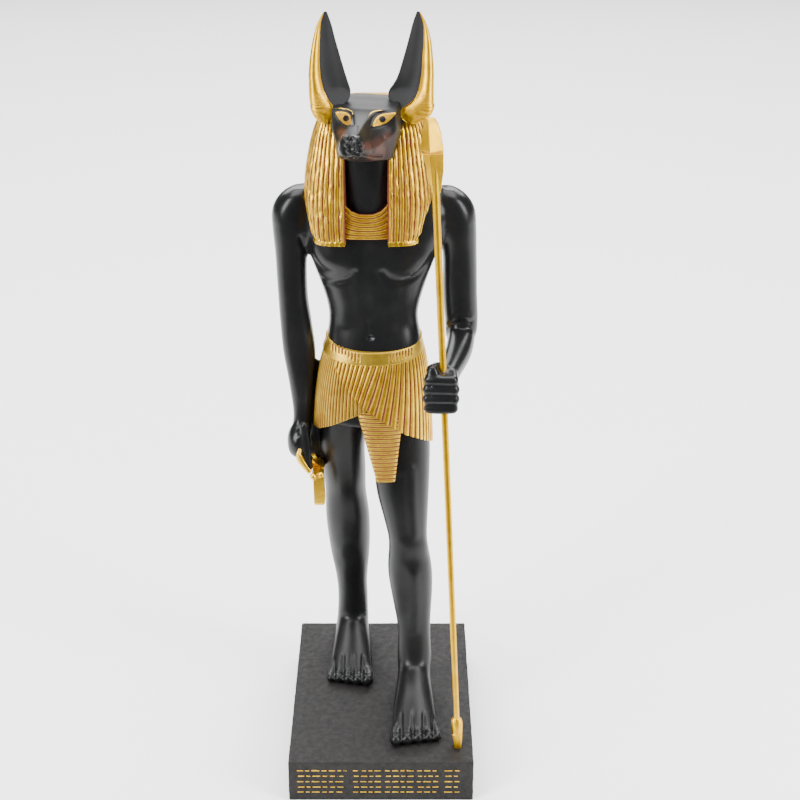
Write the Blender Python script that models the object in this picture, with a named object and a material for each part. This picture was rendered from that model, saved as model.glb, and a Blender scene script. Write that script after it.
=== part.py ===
"""A jackal-headed guardian figurine: a cast resin figure and its sceptre on a slab plinth.

World axes: X to the figure's left hand, -Y ahead of the figure, +Z up.
The origin is the middle of the plinth's underside. Sizes are in millimetres.

The cast figure keeps its pose and proportions as shares of its own height: its functions
work in figure units, of which FIGURE_UNITS make the height from soles to ear tips.
"""
import math

import bmesh
import bpy
from mathutils import Vector

MM = 0.001

# Plinth
PLINTH_WIDTH = 73.0
PLINTH_DEPTH = 103.0
PLINTH_HEIGHT = 18.0
PLINTH_EDGE = 0.7

# Figure
FIGURE_HEIGHT = 278.5
FIGURE_UNITS = 278.5
CAST_GRAIN = 0.8
CAST_TRIANGLES = 3000

# Sceptre
SCEPTRE_LENGTH = 250.0
SHAFT_FOOT_DIAMETER = 2.3
SHAFT_TOP_DIAMETER = 2.9
FORK_WIDTH = 4.6
FORK_DEPTH = 6.4
FORK_HEIGHT = 12.0
FORK_NOTCH_WIDTH = 2.2
FORK_NOTCH_HEIGHT = 5.5
CREST_HEIGHT = 27.0
SHAFT_STEPS = 6
CREST_SEAT = 0.35

# Up the sceptre's crest: share of its height, then in millimetres from its axis: left side,
# front ridge across, front ridge ahead, right side, back
CREST_RINGS = [
    (0.02, -1.3, -0.9, -1.3, 1.4, 1.4),
    (0.30, -2.2, -1.3, -2.0, 2.1, 2.0),
    (0.54, -3.3, -1.5, -2.6, 2.7, 2.5),
    (0.60, -4.6, -1.5, -5.6, 2.8, 2.8),
    (0.80, -3.8, -1.3, -4.4, 2.3, 2.7),
    (0.93, -2.8, -1.0, -2.8, 1.6, 2.2),
    (1.00, -1.6, -0.8, -1.2, 0.7, 1.2),
]

# Clearances
SEAT_GAP = 0.3
GRIP_CLEARANCE = 0.3
GRIP_REACH = 14.0

UNIT = FIGURE_HEIGHT / FIGURE_UNITS

# Figure units: the sceptre's foot on the plinth and the middle of the grip around it
SCEPTRE_STANDS_AT = (30.4, -40.7)
GRIP_CENTRE = (23.7, -23.1, 146.5)

# Figure units: stations down each limb as (x, y, z, half width, half depth)
TORSO = [
    (-3.3, 17.0, 118.0, 20.5, 13.5),
    (-2.8, 16.5, 136.0, 20.0, 13.5),
    (-2.6, 16.5, 152.0, 18.1, 11.8),
    (-2.8, 17.0, 162.0, 16.8, 10.6),
    (-2.8, 17.0, 172.0, 19.0, 11.6),
    (-2.9, 16.5, 184.0, 23.4, 12.6),
    (-2.6, 16.5, 195.0, 27.2, 13.2),
    (-2.3, 17.0, 203.5, 30.0, 12.0),
    (-2.3, 17.5, 209.0, 28.5, 9.6),
    (-2.5, 17.5, 213.0, 24.0, 7.6),
    (-2.8, 17.0, 216.0, 16.0, 7.6),
    (-4.0, 15.0, 219.0, 9.5, 8.5),
]
NECK = [
    (-3.6, 15.0, 200.0, 10.5, 10.5),
    (-4.2, 12.5, 212.0, 9.3, 10.0),
    (-4.6, 11.5, 224.0, 9.3, 9.6),
    (-4.6, 11.0, 234.0, 9.3, 9.6),
]
LEFT_LEG = [
    (8.4, 15.6, 124.0, 10.6, 11.6),
    (9.4, 13.6, 106.0, 10.4, 11.6),
    (9.2, 11.0, 90.0, 10.2, 11.0),
    (10.1, 8.8, 75.5, 8.6, 9.4),
    (10.8, 7.4, 66.4, 7.9, 8.4),
    (11.6, 7.6, 53.0, 9.1, 9.4),
    (12.5, 6.6, 40.5, 8.2, 8.4),
    (13.3, 3.4, 27.0, 6.3, 6.4),
    (13.5, 0.6, 15.0, 6.7, 7.0),
    (13.6, 0.4, 6.0, 6.6, 6.6),
]
RIGHT_LEG = [
    (-14.4, 17.5, 124.0, 10.0, 11.4),
    (-16.2, 20.0, 106.0, 9.6, 10.8),
    (-15.2, 23.8, 90.0, 8.7, 10.6),
    (-14.9, 25.8, 80.0, 8.4, 9.2),
    (-14.3, 28.2, 67.0, 9.1, 9.4),
    (-13.7, 31.6, 51.5, 8.3, 8.8),
    (-13.2, 34.4, 36.0, 6.5, 7.0),
    (-12.9, 36.6, 25.0, 6.0, 6.3),
    (-13.0, 39.2, 13.0, 6.5, 6.8),
    (-13.0, 40.6, 6.0, 6.6, 6.4),
]
RIGHT_ARM = [
    (-29.6, 17.2, 212.0, 3.4, 4.0),
    (-31.4, 17.2, 209.6, 6.4, 6.8),
    (-33.0, 17.3, 205.0, 8.1, 8.2),
    (-33.8, 17.4, 198.0, 7.8, 8.4),
    (-34.4, 17.8, 186.0, 6.3, 7.3),
    (-34.0, 18.0, 170.0, 5.9, 6.6),
    (-33.1, 18.0, 158.0, 6.2, 6.2),
    (-32.0, 17.0, 146.0, 6.4, 6.3),
    (-31.4, 15.6, 134.0, 5.1, 5.5),
    (-31.4, 14.4, 120.0, 3.5, 4.0),
    (-32.3, 12.6, 112.0, 3.8, 5.4),
]
LEFT_UPPER_ARM = [
    (24.6, 17.2, 211.6, 3.4, 4.0),
    (26.2, 17.2, 208.8, 6.4, 6.8),
    (28.0, 17.4, 204.0, 7.8, 8.0),
    (29.2, 17.7, 197.0, 7.5, 8.2),
    (30.4, 18.6, 186.0, 7.0, 7.3),
    (30.8, 19.6, 170.0, 7.2, 7.0),
    (31.6, 20.6, 157.0, 6.7, 6.8),
    (31.4, 20.8, 151.0, 5.4, 6.0),
    (31.0, 20.4, 147.0, 3.6, 4.4),
]

# Figure units: stations along forearm and foot, whose rings stand across the path
LEFT_FOREARM = [
    (31.6, 23.6, 152.0, 3.8, 4.0),
    (31.6, 18.0, 151.4, 5.2, 5.4),
    (30.2, 7.0, 149.6, 5.4, 5.6),
    (27.4, -6.0, 147.8, 4.4, 4.6),
    (24.8, -14.0, 147.0, 3.8, 4.6),
]
LEFT_FOOT = [
    (13.6, 7.4, 4.0, 3.4, 3.6),
    (13.6, 3.6, 5.4, 6.4, 6.6),
    (13.5, -4.0, 6.6, 7.2, 8.6),
    (13.3, -12.0, 5.6, 8.0, 7.8),
    (13.3, -20.0, 3.6, 8.9, 6.2),
    (13.4, -28.0, 2.0, 9.4, 4.8),
    (13.6, -34.5, 1.2, 9.0, 3.4),
]

# Figure units: the head from its back to the nose, as ahead of the pivot, height of the
# middle of its top, four corners down its side as (half width, height), and height underneath
HEAD = [
    (-12.0, 245.5, (5.0, 245.5), (8.5, 244.0), (9.5, 236.0), (7.5, 229.0), 228.0),
    (-4.0, 248.8, (6.0, 248.8), (11.0, 248.0), (12.0, 237.0), (9.5, 227.5), 226.5),
    (3.0, 247.9, (6.0, 247.9), (11.8, 247.2), (12.4, 238.0), (9.8, 227.2), 226.0),
    (8.0, 246.9, (6.0, 246.9), (12.1, 246.4), (12.3, 238.5), (10.2, 228.2), 227.0),
    (10.0, 246.5, (6.0, 246.5), (12.0, 246.1), (12.0, 239.0), (10.2, 228.6), 227.4),
    (10.6, 246.1, (4.6, 246.0), (11.0, 244.4), (11.7, 239.0), (10.1, 228.7), 227.5),
    (13.0, 245.4, (3.4, 245.3), (6.6, 242.9), (10.5, 238.4), (9.4, 229.2), 228.2),
    (16.0, 244.8, (2.8, 244.7), (4.8, 241.9), (9.2, 237.4), (8.4, 229.9), 228.9),
    (20.0, 244.2, (2.5, 244.1), (4.2, 241.3), (7.9, 236.4), (7.1, 230.8), 229.8),
    (24.0, 243.7, (2.5, 243.6), (4.0, 241.3), (6.6, 236.2), (5.9, 231.8), 230.9),
    (28.0, 243.2, (2.5, 243.1), (3.8, 241.3), (5.2, 236.4), (4.6, 232.8), 232.0),
    (30.6, 242.7, (2.4, 242.5), (3.5, 240.6), (4.3, 236.8), (3.7, 233.6), 232.9),
    (32.4, 241.6, (1.9, 241.4), (2.9, 239.8), (3.4, 237.2), (2.8, 234.6), 234.0),
    (33.2, 240.4, (1.2, 240.2), (1.9, 239.2), (2.2, 237.6), (1.8, 235.8), 235.4),
]

# Figure units: where the two feet differ, and how the head is turned
RIGHT_FOOT_SHIFT = (-27.0, 42.0)
TOE_COUNT = 5
TOE_SPREAD = 15.6
TOE_STEP_BACK = 0.9
HEAD_PIVOT = (-3.4, 10.0)
HEAD_TURN = math.radians(12.5)
TORSO_TURN = math.radians(4.0)

# Figure units: the headdress as (z, centre x, half width, front y, back y)
WIG_LEVELS = [
    (194.8, -5.05, 20.1, -0.6, 31.0),
    (202.0, -4.9, 22.0, -0.4, 32.0),
    (210.0, -4.4, 24.0, 0.2, 32.4),
    (216.0, -4.2, 24.2, 0.8, 32.2),
    (224.0, -4.1, 23.2, 1.8, 31.2),
    (231.0, -3.7, 22.1, 3.2, 29.8),
    (237.0, -3.0, 20.9, 5.0, 28.2),
    (242.0, -2.8, 18.4, 8.0, 26.4),
    (245.6, -2.9, 14.2, 11.0, 24.0),
    (247.6, -3.2, 9.6, 13.6, 21.0),
]
WIG_BAND = 1.8
LAPPET_FLUTES = 9
BACK_FLUTES = 26
LAPPET_SHARE = 0.15
FLUTE_DEPTH = 0.5
FACE_OPENING = (-13.2, 3.4)
FACE_OPENING_DEPTH = 9.0
FACE_OPENING_TOP = 248.6
FACE_OPENING_FADE = 6.0
CROWN_PEAK = (-3.2, 15.5, 248.1)
OUTLINE_STEPS = 240

# Figure units: the ears as (z, outer x, rim x, inner x)
RIGHT_EAR = [
    (278.7, -19.9, -19.6, -18.7),
    (274.6, -22.2, -20.9, -17.2),
    (269.3, -23.8, -21.4, -15.8),
    (263.0, -25.2, -21.6, -14.0),
    (257.0, -25.8, -21.3, -12.2),
    (254.0, -25.8, -20.7, -11.2),
    (250.9, -25.6, -19.8, -10.4),
    (248.2, -25.1, -18.4, -11.2),
    (246.6, -24.7, -17.2, -13.4),
    (245.2, -24.2, -16.5, -15.6),
    (243.0, -23.0, -16.5, -16.2),
    (241.2, -21.4, -17.5, -17.3),
    (240.2, -20.0, -18.4, -18.3),
]
LEFT_EAR = [
    (278.7, 14.7, 14.4, 13.5),
    (274.6, 17.0, 15.7, 12.0),
    (269.3, 18.6, 16.0, 10.6),
    (263.0, 19.5, 15.6, 8.6),
    (257.0, 19.9, 15.2, 6.6),
    (254.0, 19.9, 14.7, 5.0),
    (251.0, 19.8, 14.0, 3.2),
    (248.6, 19.5, 12.7, 3.6),
    (247.0, 19.2, 10.8, 5.4),
    (245.6, 18.7, 8.4, 7.0),
    (243.5, 17.6, 7.6, 7.4),
    (241.5, 15.4, 8.8, 8.6),
    (240.2, 12.2, 10.5, 10.4),
]
EAR_BASE = 251.0
EAR_LEAN = 0.25
EAR_FRONT = 6.4
EAR_DEPTH = 7.5

# Figure units: the kilt, turned about its own axis; angles run from the front to the left
KILT_CENTRE = (-2.7, 16.8)
KILT_DRIFT = -1.15
KILT_TOP = 150.5
KILT_TOP_RISE = 3.5
KILT_WAIST = (18.3, 12.6)
KILT_FLARE = (6.2, 5.6)
KILT_FLARE_RATE = 17.0
KILT_PLEAT_DEPTH = 0.55
KILT_LEVELS = 4
BELT_HEIGHT = 5.2
UNDER_PLEATS = 40
UNDER_PLEATS_END = math.radians(2.0)
COVERED_COLUMNS = 12
BELT_STEPS = 40
HEM_TOOTH = 0.5
OVER_PLEATS = 40
OVER_PLEAT_LEAN = math.radians(-13.0)
WRAP_EDGE = [(-43.0, 144.7), (-22.0, 135.2), (-1.0, 126.5), (13.0, 121.8), (31.0, 116.6),
             (60.0, 111.4), (90.0, 106.8), (180.0, 106.0)]
UNDER_HEM = [(-180.0, 107.0), (-90.0, 115.2), (-62.0, 116.2), (-40.0, 119.6), (-14.0, 124.8),
             (-1.0, 127.5), (13.0, 122.8), (31.0, 117.6), (60.0, 112.4), (90.0, 107.8),
             (180.0, 107.0)]

# Figure units: ribbed panels as (left x, right x, z) at the top and at the bottom
APRON_TOP = (-9.6, 9.0, 127.0)
APRON_BOTTOM = (-1.7, 5.6, 97.6)
APRON_RIBS = 18
COLLAR_TOP = (-13.6, 3.6, 206.4)
COLLAR_BOTTOM = (-13.6, 3.4, 196.8)
COLLAR_RIBS = 6
RIB_DEPTH = 0.45

# Figure units: the looped cross in the right hand, from the top of its loop to its foot
CROSS_TOP = (-32.4, 9.0, 108.6)
CROSS_MIDDLE = (-25.4, 9.0, 95.4)
CROSS_FOOT = (-23.8, 9.0, 82.8)
CROSS_THICKNESS = 3.0

# Figure units: the web of resin left between the hanging arm and the hip
ARM_WEB = [
    (-27.0, 18.0, 141.5, 4.5, 1.2),
    (-27.0, 17.6, 134.0, 6.0, 2.0),
    (-27.0, 16.4, 120.0, 6.0, 2.2),
    (-26.5, 15.6, 104.0, 6.0, 2.2),
    (-23.6, 16.6, 88.0, 3.4, 1.8),
]


def line_value(points, at):
    """The value at a place on the straight runs through points of (place, value)."""
    if at <= points[0][0]:
        return points[0][1]
    for (start, low), (end, high) in zip(points, points[1:]):
        if at <= end:
            share = (at - start) / (end - start)
            return low + (high - low) * share
    return points[-1][1]


def smooth_stations(stations, steps):
    """Stations with steps from each one to the next, on a Catmull-Rom curve."""
    result = []
    last = len(stations) - 1
    for index in range(last):
        before = stations[max(index - 1, 0)]
        start = stations[index]
        end = stations[index + 1]
        after = stations[min(index + 2, last)]
        for step in range(steps):
            t = step / steps
            result.append(tuple(
                0.5 * (2 * p1 + (p2 - p0) * t + (2 * p0 - 5 * p1 + 4 * p2 - p3) * t * t
                       + (3 * p1 - p0 - 3 * p2 + p3) * t ** 3)
                for p0, p1, p2, p3 in zip(before, start, end, after)))
    result.append(tuple(stations[-1]))
    return result


def oval(angle, half_width, half_depth, power):
    """A point of a superellipse, with angle zero ahead at -Y and growing towards +X."""
    across = math.sin(angle)
    ahead = math.cos(angle)
    return (math.copysign(abs(across) ** (2 / power), across) * half_width,
            -math.copysign(abs(ahead) ** (2 / power), ahead) * half_depth)


def level_rings(stations, sides=16, power=2.2, turn=0.0, steps=2):
    """Level rings through stations of an upright limb, turned about their centres."""
    rings = []
    for x, y, z, half_width, half_depth in smooth_stations(stations, steps):
        ring = []
        for side in range(sides):
            across, along = oval(math.tau * side / sides, half_width, half_depth, power)
            ring.append(Vector((x + across * math.cos(turn) + along * math.sin(turn),
                                y - across * math.sin(turn) + along * math.cos(turn), z)))
        rings.append(ring)
    return rings


def path_rings(stations, sides=14, power=2.2, steps=2):
    """Rings across a path: half widths lie level, half heights stand across both."""
    path = smooth_stations(stations, steps)
    rings = []
    for index, (x, y, z, half_width, half_height) in enumerate(path):
        ahead = Vector(path[min(index + 1, len(path) - 1)][:3])
        behind = Vector(path[max(index - 1, 0)][:3])
        along = (ahead - behind).normalized()
        level = along.cross(Vector((0, 0, 1))).normalized()
        upward = level.cross(along)
        ring = []
        for side in range(sides):
            a, b = oval(math.tau * side / sides, half_width, half_height, power)
            ring.append(Vector((x, y, z)) + level * a - upward * b)
        rings.append(ring)
    return rings


def blob_rings(centre, half_sizes, sides=12, levels=6):
    """An ellipsoid as level rings, for a muscle, a knuckle or a toe."""
    stations = []
    for level in range(levels + 1):
        tilt = math.pi * (level + 0.35) / (levels + 0.7)
        stations.append((centre[0], centre[1], centre[2] - half_sizes[2] * math.cos(tilt),
                         half_sizes[0] * math.sin(tilt), half_sizes[1] * math.sin(tilt)))
    return level_rings(stations, sides, 2.0, steps=1)


def bar_rings(start, end, radius, sides=10):
    """A round-ended bar from start to end, for a finger or a thumb."""
    start = Vector(start)
    end = Vector(end)
    along = (end - start).normalized()
    stations = []
    for offset, share in ((-0.9, 0.45), (-0.45, 0.88), (0.2, 1.0)):
        stations.append((*(start + along * radius * offset), radius * share, radius * share))
    for offset, share in ((-0.2, 1.0), (0.45, 0.88), (0.9, 0.45)):
        stations.append((*(end + along * radius * offset), radius * share, radius * share))
    return path_rings(stations, sides, 2.0, steps=1)


def add_loft(mesh, rings, caps=None):
    """Add a closed body through rings; caps are peak points, or None for flat ends."""
    rows = [[mesh.verts.new(point) for point in ring] for ring in rings]
    count = len(rows[0])
    faces = []
    for lower, upper in zip(rows, rows[1:]):
        for side in range(count):
            after = (side + 1) % count
            faces.append(mesh.faces.new((lower[side], lower[after], upper[after], upper[side])))
    for row, peak in zip((rows[0], rows[-1]), caps or (None, None)):
        if peak is None:
            faces.append(mesh.faces.new(row))
        else:
            tip = mesh.verts.new(peak)
            for side in range(count):
                faces.append(mesh.faces.new((row[side], row[(side + 1) % count], tip)))
    bmesh.ops.recalc_face_normals(mesh, faces=faces)


def place_figure(mesh):
    """Scale figure units to size and stand the figure on the plinth, with the seat gap."""
    for vert in mesh.verts:
        vert.co = vert.co * UNIT
        vert.co.z += PLINTH_HEIGHT + SEAT_GAP
        vert.co = vert.co * MM


def new_object(name, mesh, material):
    """An object from a bmesh in metres, with its own material."""
    data = bpy.data.meshes.new(name)
    mesh.to_mesh(data)
    mesh.free()
    item = bpy.data.objects.new(name, data)
    item.data.materials.append(material)
    bpy.context.scene.collection.objects.link(item)
    return item


def new_material(name, colour, roughness, metallic):
    """A Principled material for one sub-part."""
    material = bpy.data.materials.new(name)
    material.use_nodes = True
    shader = material.node_tree.nodes["Principled BSDF"]
    shader.inputs["Base Color"].default_value = (*colour, 1.0)
    shader.inputs["Roughness"].default_value = roughness
    shader.inputs["Metallic"].default_value = metallic
    return material


def figure_tool(name, rings, material, caps=None):
    """A hidden closed body in figure units, for joining to the cast figure."""
    mesh = bmesh.new()
    add_loft(mesh, rings, caps)
    place_figure(mesh)
    return hide_tool(new_object(name, mesh, material))


def hide_tool(item):
    """Mark a body that only serves a Boolean."""
    item.hide_render = True
    item.display_type = "WIRE"
    return item


def combine(item, tool, operation):
    """Join a tool to an object, or cut the object with it."""
    change = item.modifiers.new(f"{operation.lower()} {tool.name}", "BOOLEAN")
    change.operation = operation
    change.solver = "EXACT"
    change.object = tool


def head_point(across, ahead, height):
    """Figure place of a point given across, ahead of the head's pivot, and by height."""
    return Vector((HEAD_PIVOT[0] + across * math.cos(HEAD_TURN) - ahead * math.sin(HEAD_TURN),
                   HEAD_PIVOT[1] - across * math.sin(HEAD_TURN) - ahead * math.cos(HEAD_TURN),
                   height))


def head_rings(steps=3, splits=3):
    """The skull and muzzle: rings across the way the head looks, through their corners."""
    flat = [(ahead, top, *a, *b, *c, *d, under) for ahead, top, a, b, c, d, under in HEAD]
    rings = []
    for ahead, top, *corners, under in smooth_stations(flat, steps):
        side = [(0.0, top)] + list(zip(corners[0::2], corners[1::2])) + [(0.0, under)]
        half = []
        for (a0, z0), (a1, z1) in zip(side, side[1:]):
            for split in range(splits):
                t = split / splits
                half.append((a0 + (a1 - a0) * t, z0 + (z1 - z0) * t))
        half.append(side[-1])
        ring = [head_point(a, ahead, z) for a, z in half]
        ring += [head_point(-a, ahead, z) for a, z in half[-2:0:-1]]
        rings.append(ring)
    return rings


def foot_lofts(shift_x, shift_y, mirrored):
    """One foot with its toes; the right foot is the left one mirrored and set back."""
    side = -1 if mirrored else 1
    middle = LEFT_FOOT[0][0]
    stations = [(shift_x + middle + side * (x - middle), y + shift_y, z, w, h)
                for x, y, z, w, h in LEFT_FOOT]
    lofts = [path_rings(stations)]
    for toe in range(TOE_COUNT):
        size = 2.6 if toe == 0 else 2.15 - 0.1 * toe
        x = shift_x + middle + side * (TOE_SPREAD * (toe / (TOE_COUNT - 1) - 0.5))
        y = shift_y - 35.6 + TOE_STEP_BACK * toe
        lofts.append(blob_rings((x, y, size * 0.9), (size, 5.6, size * 1.15)))
    return lofts


def left_fist_lofts():
    """The fist that grips the sceptre: palm, four stacked fingers and the thumb."""
    x, y, z = GRIP_CENTRE
    lofts = [blob_rings((x - 0.4, y + 5.0, z - 0.4), (6.4, 5.2, 9.4)),
             blob_rings((x - 0.8, y + 1.0, z - 0.4), (5.8, 4.2, 8.6))]
    for finger in range(4):
        height = z + 5.4 - 3.8 * finger
        lofts.append(bar_rings((x - 5.6, y - 2.4, height), (x + 3.0, y - 2.6, height), 2.3))
        lofts.append(bar_rings((x + 3.0, y - 2.6, height), (x + 3.6, y + 4.4, height), 2.25))
    lofts.append(bar_rings((x - 5.0, y - 0.6, z + 6.4), (x - 3.2, y + 7.0, z + 5.4), 2.3))
    return lofts


def right_fist_lofts():
    """The hanging fist: palm, four curled fingers behind each other, and the thumb."""
    lofts = [blob_rings((-33.4, 11.0, 108.4), (4.3, 6.6, 7.4)),
             bar_rings((-31.0, 6.6, 112.0), (-27.9, 5.6, 100.0), 1.9)]
    for finger in range(4):
        lofts.append(blob_rings((-32.6, 4.6 + 3.7 * finger, 106.6), (4.2, 2.2, 4.4)))
    return lofts


def chest_lofts():
    """Breast muscles, collar bones and the run of the belly."""
    return [blob_rings((-14.0, 10.4, 191.0), (12.0, 6.8, 10.6)),
            blob_rings((8.8, 10.8, 191.0), (12.0, 6.8, 10.6)),
            blob_rings((-3.6, 11.0, 164.0), (8.0, 5.2, 15.0))]


def make_cast_body(material):
    """The black body: limbs and muscles grown together like the cast, then thinned out."""
    mesh = bmesh.new()
    lofts = [level_rings(TORSO, 20, 2.3, TORSO_TURN), level_rings(NECK), head_rings(),
             level_rings(LEFT_LEG), level_rings(RIGHT_LEG), level_rings(RIGHT_ARM, 14),
             level_rings(LEFT_UPPER_ARM, 14), path_rings(LEFT_FOREARM)]
    lofts += foot_lofts(0.0, 0.0, False)
    lofts += foot_lofts(*RIGHT_FOOT_SHIFT, True)
    lofts += left_fist_lofts() + right_fist_lofts() + chest_lofts()
    lofts.append(level_rings(ARM_WEB))
    for rings in lofts:
        add_loft(mesh, rings)
    place_figure(mesh)
    figure = new_object("anubis_figure", mesh, material)
    grow = figure.modifiers.new("grow together", "REMESH")
    grow.mode = "VOXEL"
    grow.voxel_size = CAST_GRAIN * UNIT * MM
    soften = figure.modifiers.new("soften", "SMOOTH")
    soften.factor = 0.5
    soften.iterations = 5
    thin = figure.modifiers.new("thin out", "DECIMATE")
    thin.ratio = 0.04
    return figure, thin


def set_triangle_count(figure, thin):
    """Thin the grown cast to its named number of triangles, whatever its size."""
    thin.show_viewport = False
    grown = figure.evaluated_get(bpy.context.evaluated_depsgraph_get())
    count = sum(len(face.vertices) - 2 for face in grown.data.polygons)
    thin.ratio = CAST_TRIANGLES / count
    thin.show_viewport = True


def wig_places():
    """Shares along the headdress outline: a valley and a crest for each flute."""
    bounds = []
    middle = 1.0 - 2 * LAPPET_SHARE
    for flute in range(LAPPET_FLUTES):
        bounds.append(LAPPET_SHARE * flute / LAPPET_FLUTES)
    for flute in range(BACK_FLUTES):
        bounds.append(LAPPET_SHARE + middle * flute / BACK_FLUTES)
    for flute in range(LAPPET_FLUTES + 1):
        bounds.append(1.0 - LAPPET_SHARE + LAPPET_SHARE * flute / LAPPET_FLUTES)
    places = []
    for start, end in zip(bounds, bounds[1:]):
        places.append((start, 1.0))
        places.append(((start + end) / 2, 0.0))
    places.append((1.0, 1.0))
    return places


def along_outline(points, shares):
    """Points at shares of the length of an open outline."""
    lengths = [0.0]
    for start, end in zip(points, points[1:]):
        lengths.append(lengths[-1] + (end - start).length)
    result = []
    segment = 0
    for share in shares:
        target = share * lengths[-1]
        while segment < len(points) - 2 and lengths[segment + 1] < target:
            segment += 1
        span = lengths[segment + 1] - lengths[segment]
        t = (target - lengths[segment]) / span
        result.append(points[segment].lerp(points[segment + 1], t))
    return result


def wig_ring(level, depth):
    """One level ring of the headdress, open ahead for the face, with its flutes."""
    z, centre_x, half_width, front, back = level
    centre_y = (front + back) / 2
    half_depth = (back - front) / 2
    power = 3.4 - 0.8 * min(max((z - 200.0) / 40.0, 0.0), 1.0)
    outline = []
    for step in range(OUTLINE_STEPS + 1):
        angle = math.tau * step / OUTLINE_STEPS
        x, y = oval(angle, half_width, half_depth, power)
        if math.cos(angle) > 0 and FACE_OPENING[0] < centre_x + x < FACE_OPENING[1]:
            continue
        outline.append(Vector((centre_x + x, centre_y + y, z)))
    places = wig_places()
    ring = []
    centre = Vector((centre_x, centre_y, z))
    for point, (share, valley) in zip(along_outline(outline, [p[0] for p in places]), places):
        inward = (centre - point).normalized()
        ring.append(point + inward * depth * valley)
    open_share = min((FACE_OPENING_TOP - z) / FACE_OPENING_FADE, 1.0)
    inner = min(front + FACE_OPENING_DEPTH * open_share, centre_y)
    ring.append(Vector((FACE_OPENING[0] + 1.0, inner, z)))
    ring.append(Vector((FACE_OPENING[1] - 1.0, inner, z)))
    return ring


def wig_rings():
    """The headdress from the plain band at its lower edge up to the crown."""
    bottom = WIG_LEVELS[0]
    band_top = (bottom[0] + WIG_BAND, *bottom[1:])
    rings = [wig_ring(bottom, 0.0), wig_ring(band_top, 0.0)]
    rings.append(wig_ring((band_top[0] + 0.3, *bottom[1:]), FLUTE_DEPTH))
    for level in WIG_LEVELS[1:]:
        rings.append(wig_ring(level, FLUTE_DEPTH))
    return rings


def ear_rings(levels):
    """One tall ear: a bowl open ahead, with a rim that widens down its outer side."""
    rings = []
    height = levels[0][0] - EAR_BASE
    for z, outer, rim, inner in levels:
        rise = (z - EAR_BASE) / height
        depth = EAR_DEPTH * (1.0 - 0.88 * max(rise, 0.0)) * min(1.0, 1.0 + 1.4 * min(rise, 0.0))
        bowl = min(max((z - 246.0) / 6.0, 0.0), 1.0)
        y = EAR_FRONT + EAR_LEAN * (z - EAR_BASE)
        width = inner - outer
        profile = [(outer, 0.5), (0.6 * outer + 0.4 * rim, 0.03), (rim, 0.1),
                   (0.6 * rim + 0.4 * inner, 0.08 + 0.42 * bowl), (inner, 0.12), (inner, 0.4),
                   (inner - 0.3 * width, 0.94), (inner - 0.75 * width, 0.95)]
        rings.append([Vector((x, y + depth * share, z)) for x, share in profile])
    return rings


def kilt_radius(angle, z, proud):
    """A point of the kilt's surface at an angle from the front and a height."""
    flare = 1.0 - math.exp(-max(KILT_TOP + KILT_TOP_RISE - z - 2.0, 0.0) / KILT_FLARE_RATE)
    half_width = KILT_WAIST[0] + KILT_FLARE[0] * flare + proud
    half_depth = KILT_WAIST[1] + KILT_FLARE[1] * flare + proud
    x, y = oval(angle, half_width, half_depth, 2.2)
    return Vector((KILT_CENTRE[0] + KILT_DRIFT * flare + x, KILT_CENTRE[1] + y, z))


def kilt_top(angle):
    """The height of the kilt's upper edge, lowest at the front."""
    return KILT_TOP + KILT_TOP_RISE * min(1.0, 1.0 - math.cos(angle))


def kilt_under_rings():
    """The inner wrap: a pleated skirt all round, plain where the outer wrap covers it."""
    angles = []
    for step in range(2 * UNDER_PLEATS + 1):
        share = step / (2 * UNDER_PLEATS)
        angles.append((-math.pi + (UNDER_PLEATS_END + math.pi) * share, step % 2))
    for step in range(1, COVERED_COLUMNS):
        share = step / COVERED_COLUMNS
        angles.append((UNDER_PLEATS_END + (math.pi - UNDER_PLEATS_END) * share, 1))
    rings = []
    for level in range(KILT_LEVELS + 1):
        ring = []
        for angle, crest in angles:
            top = kilt_top(angle) - 1.0
            hem = line_value(UNDER_HEM, math.degrees(angle))
            z = top + (hem - top) * level / KILT_LEVELS
            ring.append(kilt_radius(angle, z, -0.2 - (0 if crest else KILT_PLEAT_DEPTH)))
        rings.append(ring)
    return rings


def kilt_over_rings():
    """The outer wrap: a pleated slab from its slanting front edge round to the back."""
    start = math.radians(WRAP_EDGE[0][0])
    end = math.radians(180.0)
    rings = []
    for step in range(2 * OVER_PLEATS + 1):
        at = start + (end - start) * step / (2 * OVER_PLEATS)
        lean = OVER_PLEAT_LEAN * math.exp(-((math.degrees(at) - 12.0) / 32.0) ** 2)
        foot = max(at + lean, start)
        crest = 0.5 if step % 2 else 0.5 - KILT_PLEAT_DEPTH
        top = kilt_top(at) - 2.0
        hem = line_value(WRAP_EDGE, math.degrees(foot)) + (0.0 if step % 2 else HEM_TOOTH)
        outer = []
        for level in range(KILT_LEVELS + 1):
            t = level / KILT_LEVELS
            outer.append(kilt_radius(at + (foot - at) * t, top + (hem - top) * t, crest))
        ring = outer + [kilt_radius(foot, hem, -1.9), kilt_radius(at, top, -1.9)]
        rings.append(ring)
    return rings


def belt_rings():
    """The belt: a proud band that follows the kilt's upper edge."""
    rings = []
    for drop, proud in ((0.0, 0.2), (0.5, 0.9), (BELT_HEIGHT - 0.5, 0.9), (BELT_HEIGHT, 0.2)):
        ring = []
        for step in range(BELT_STEPS):
            angle = math.tau * step / BELT_STEPS
            ring.append(kilt_radius(angle, kilt_top(angle) - drop, proud))
        rings.append(ring)
    return rings


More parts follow.
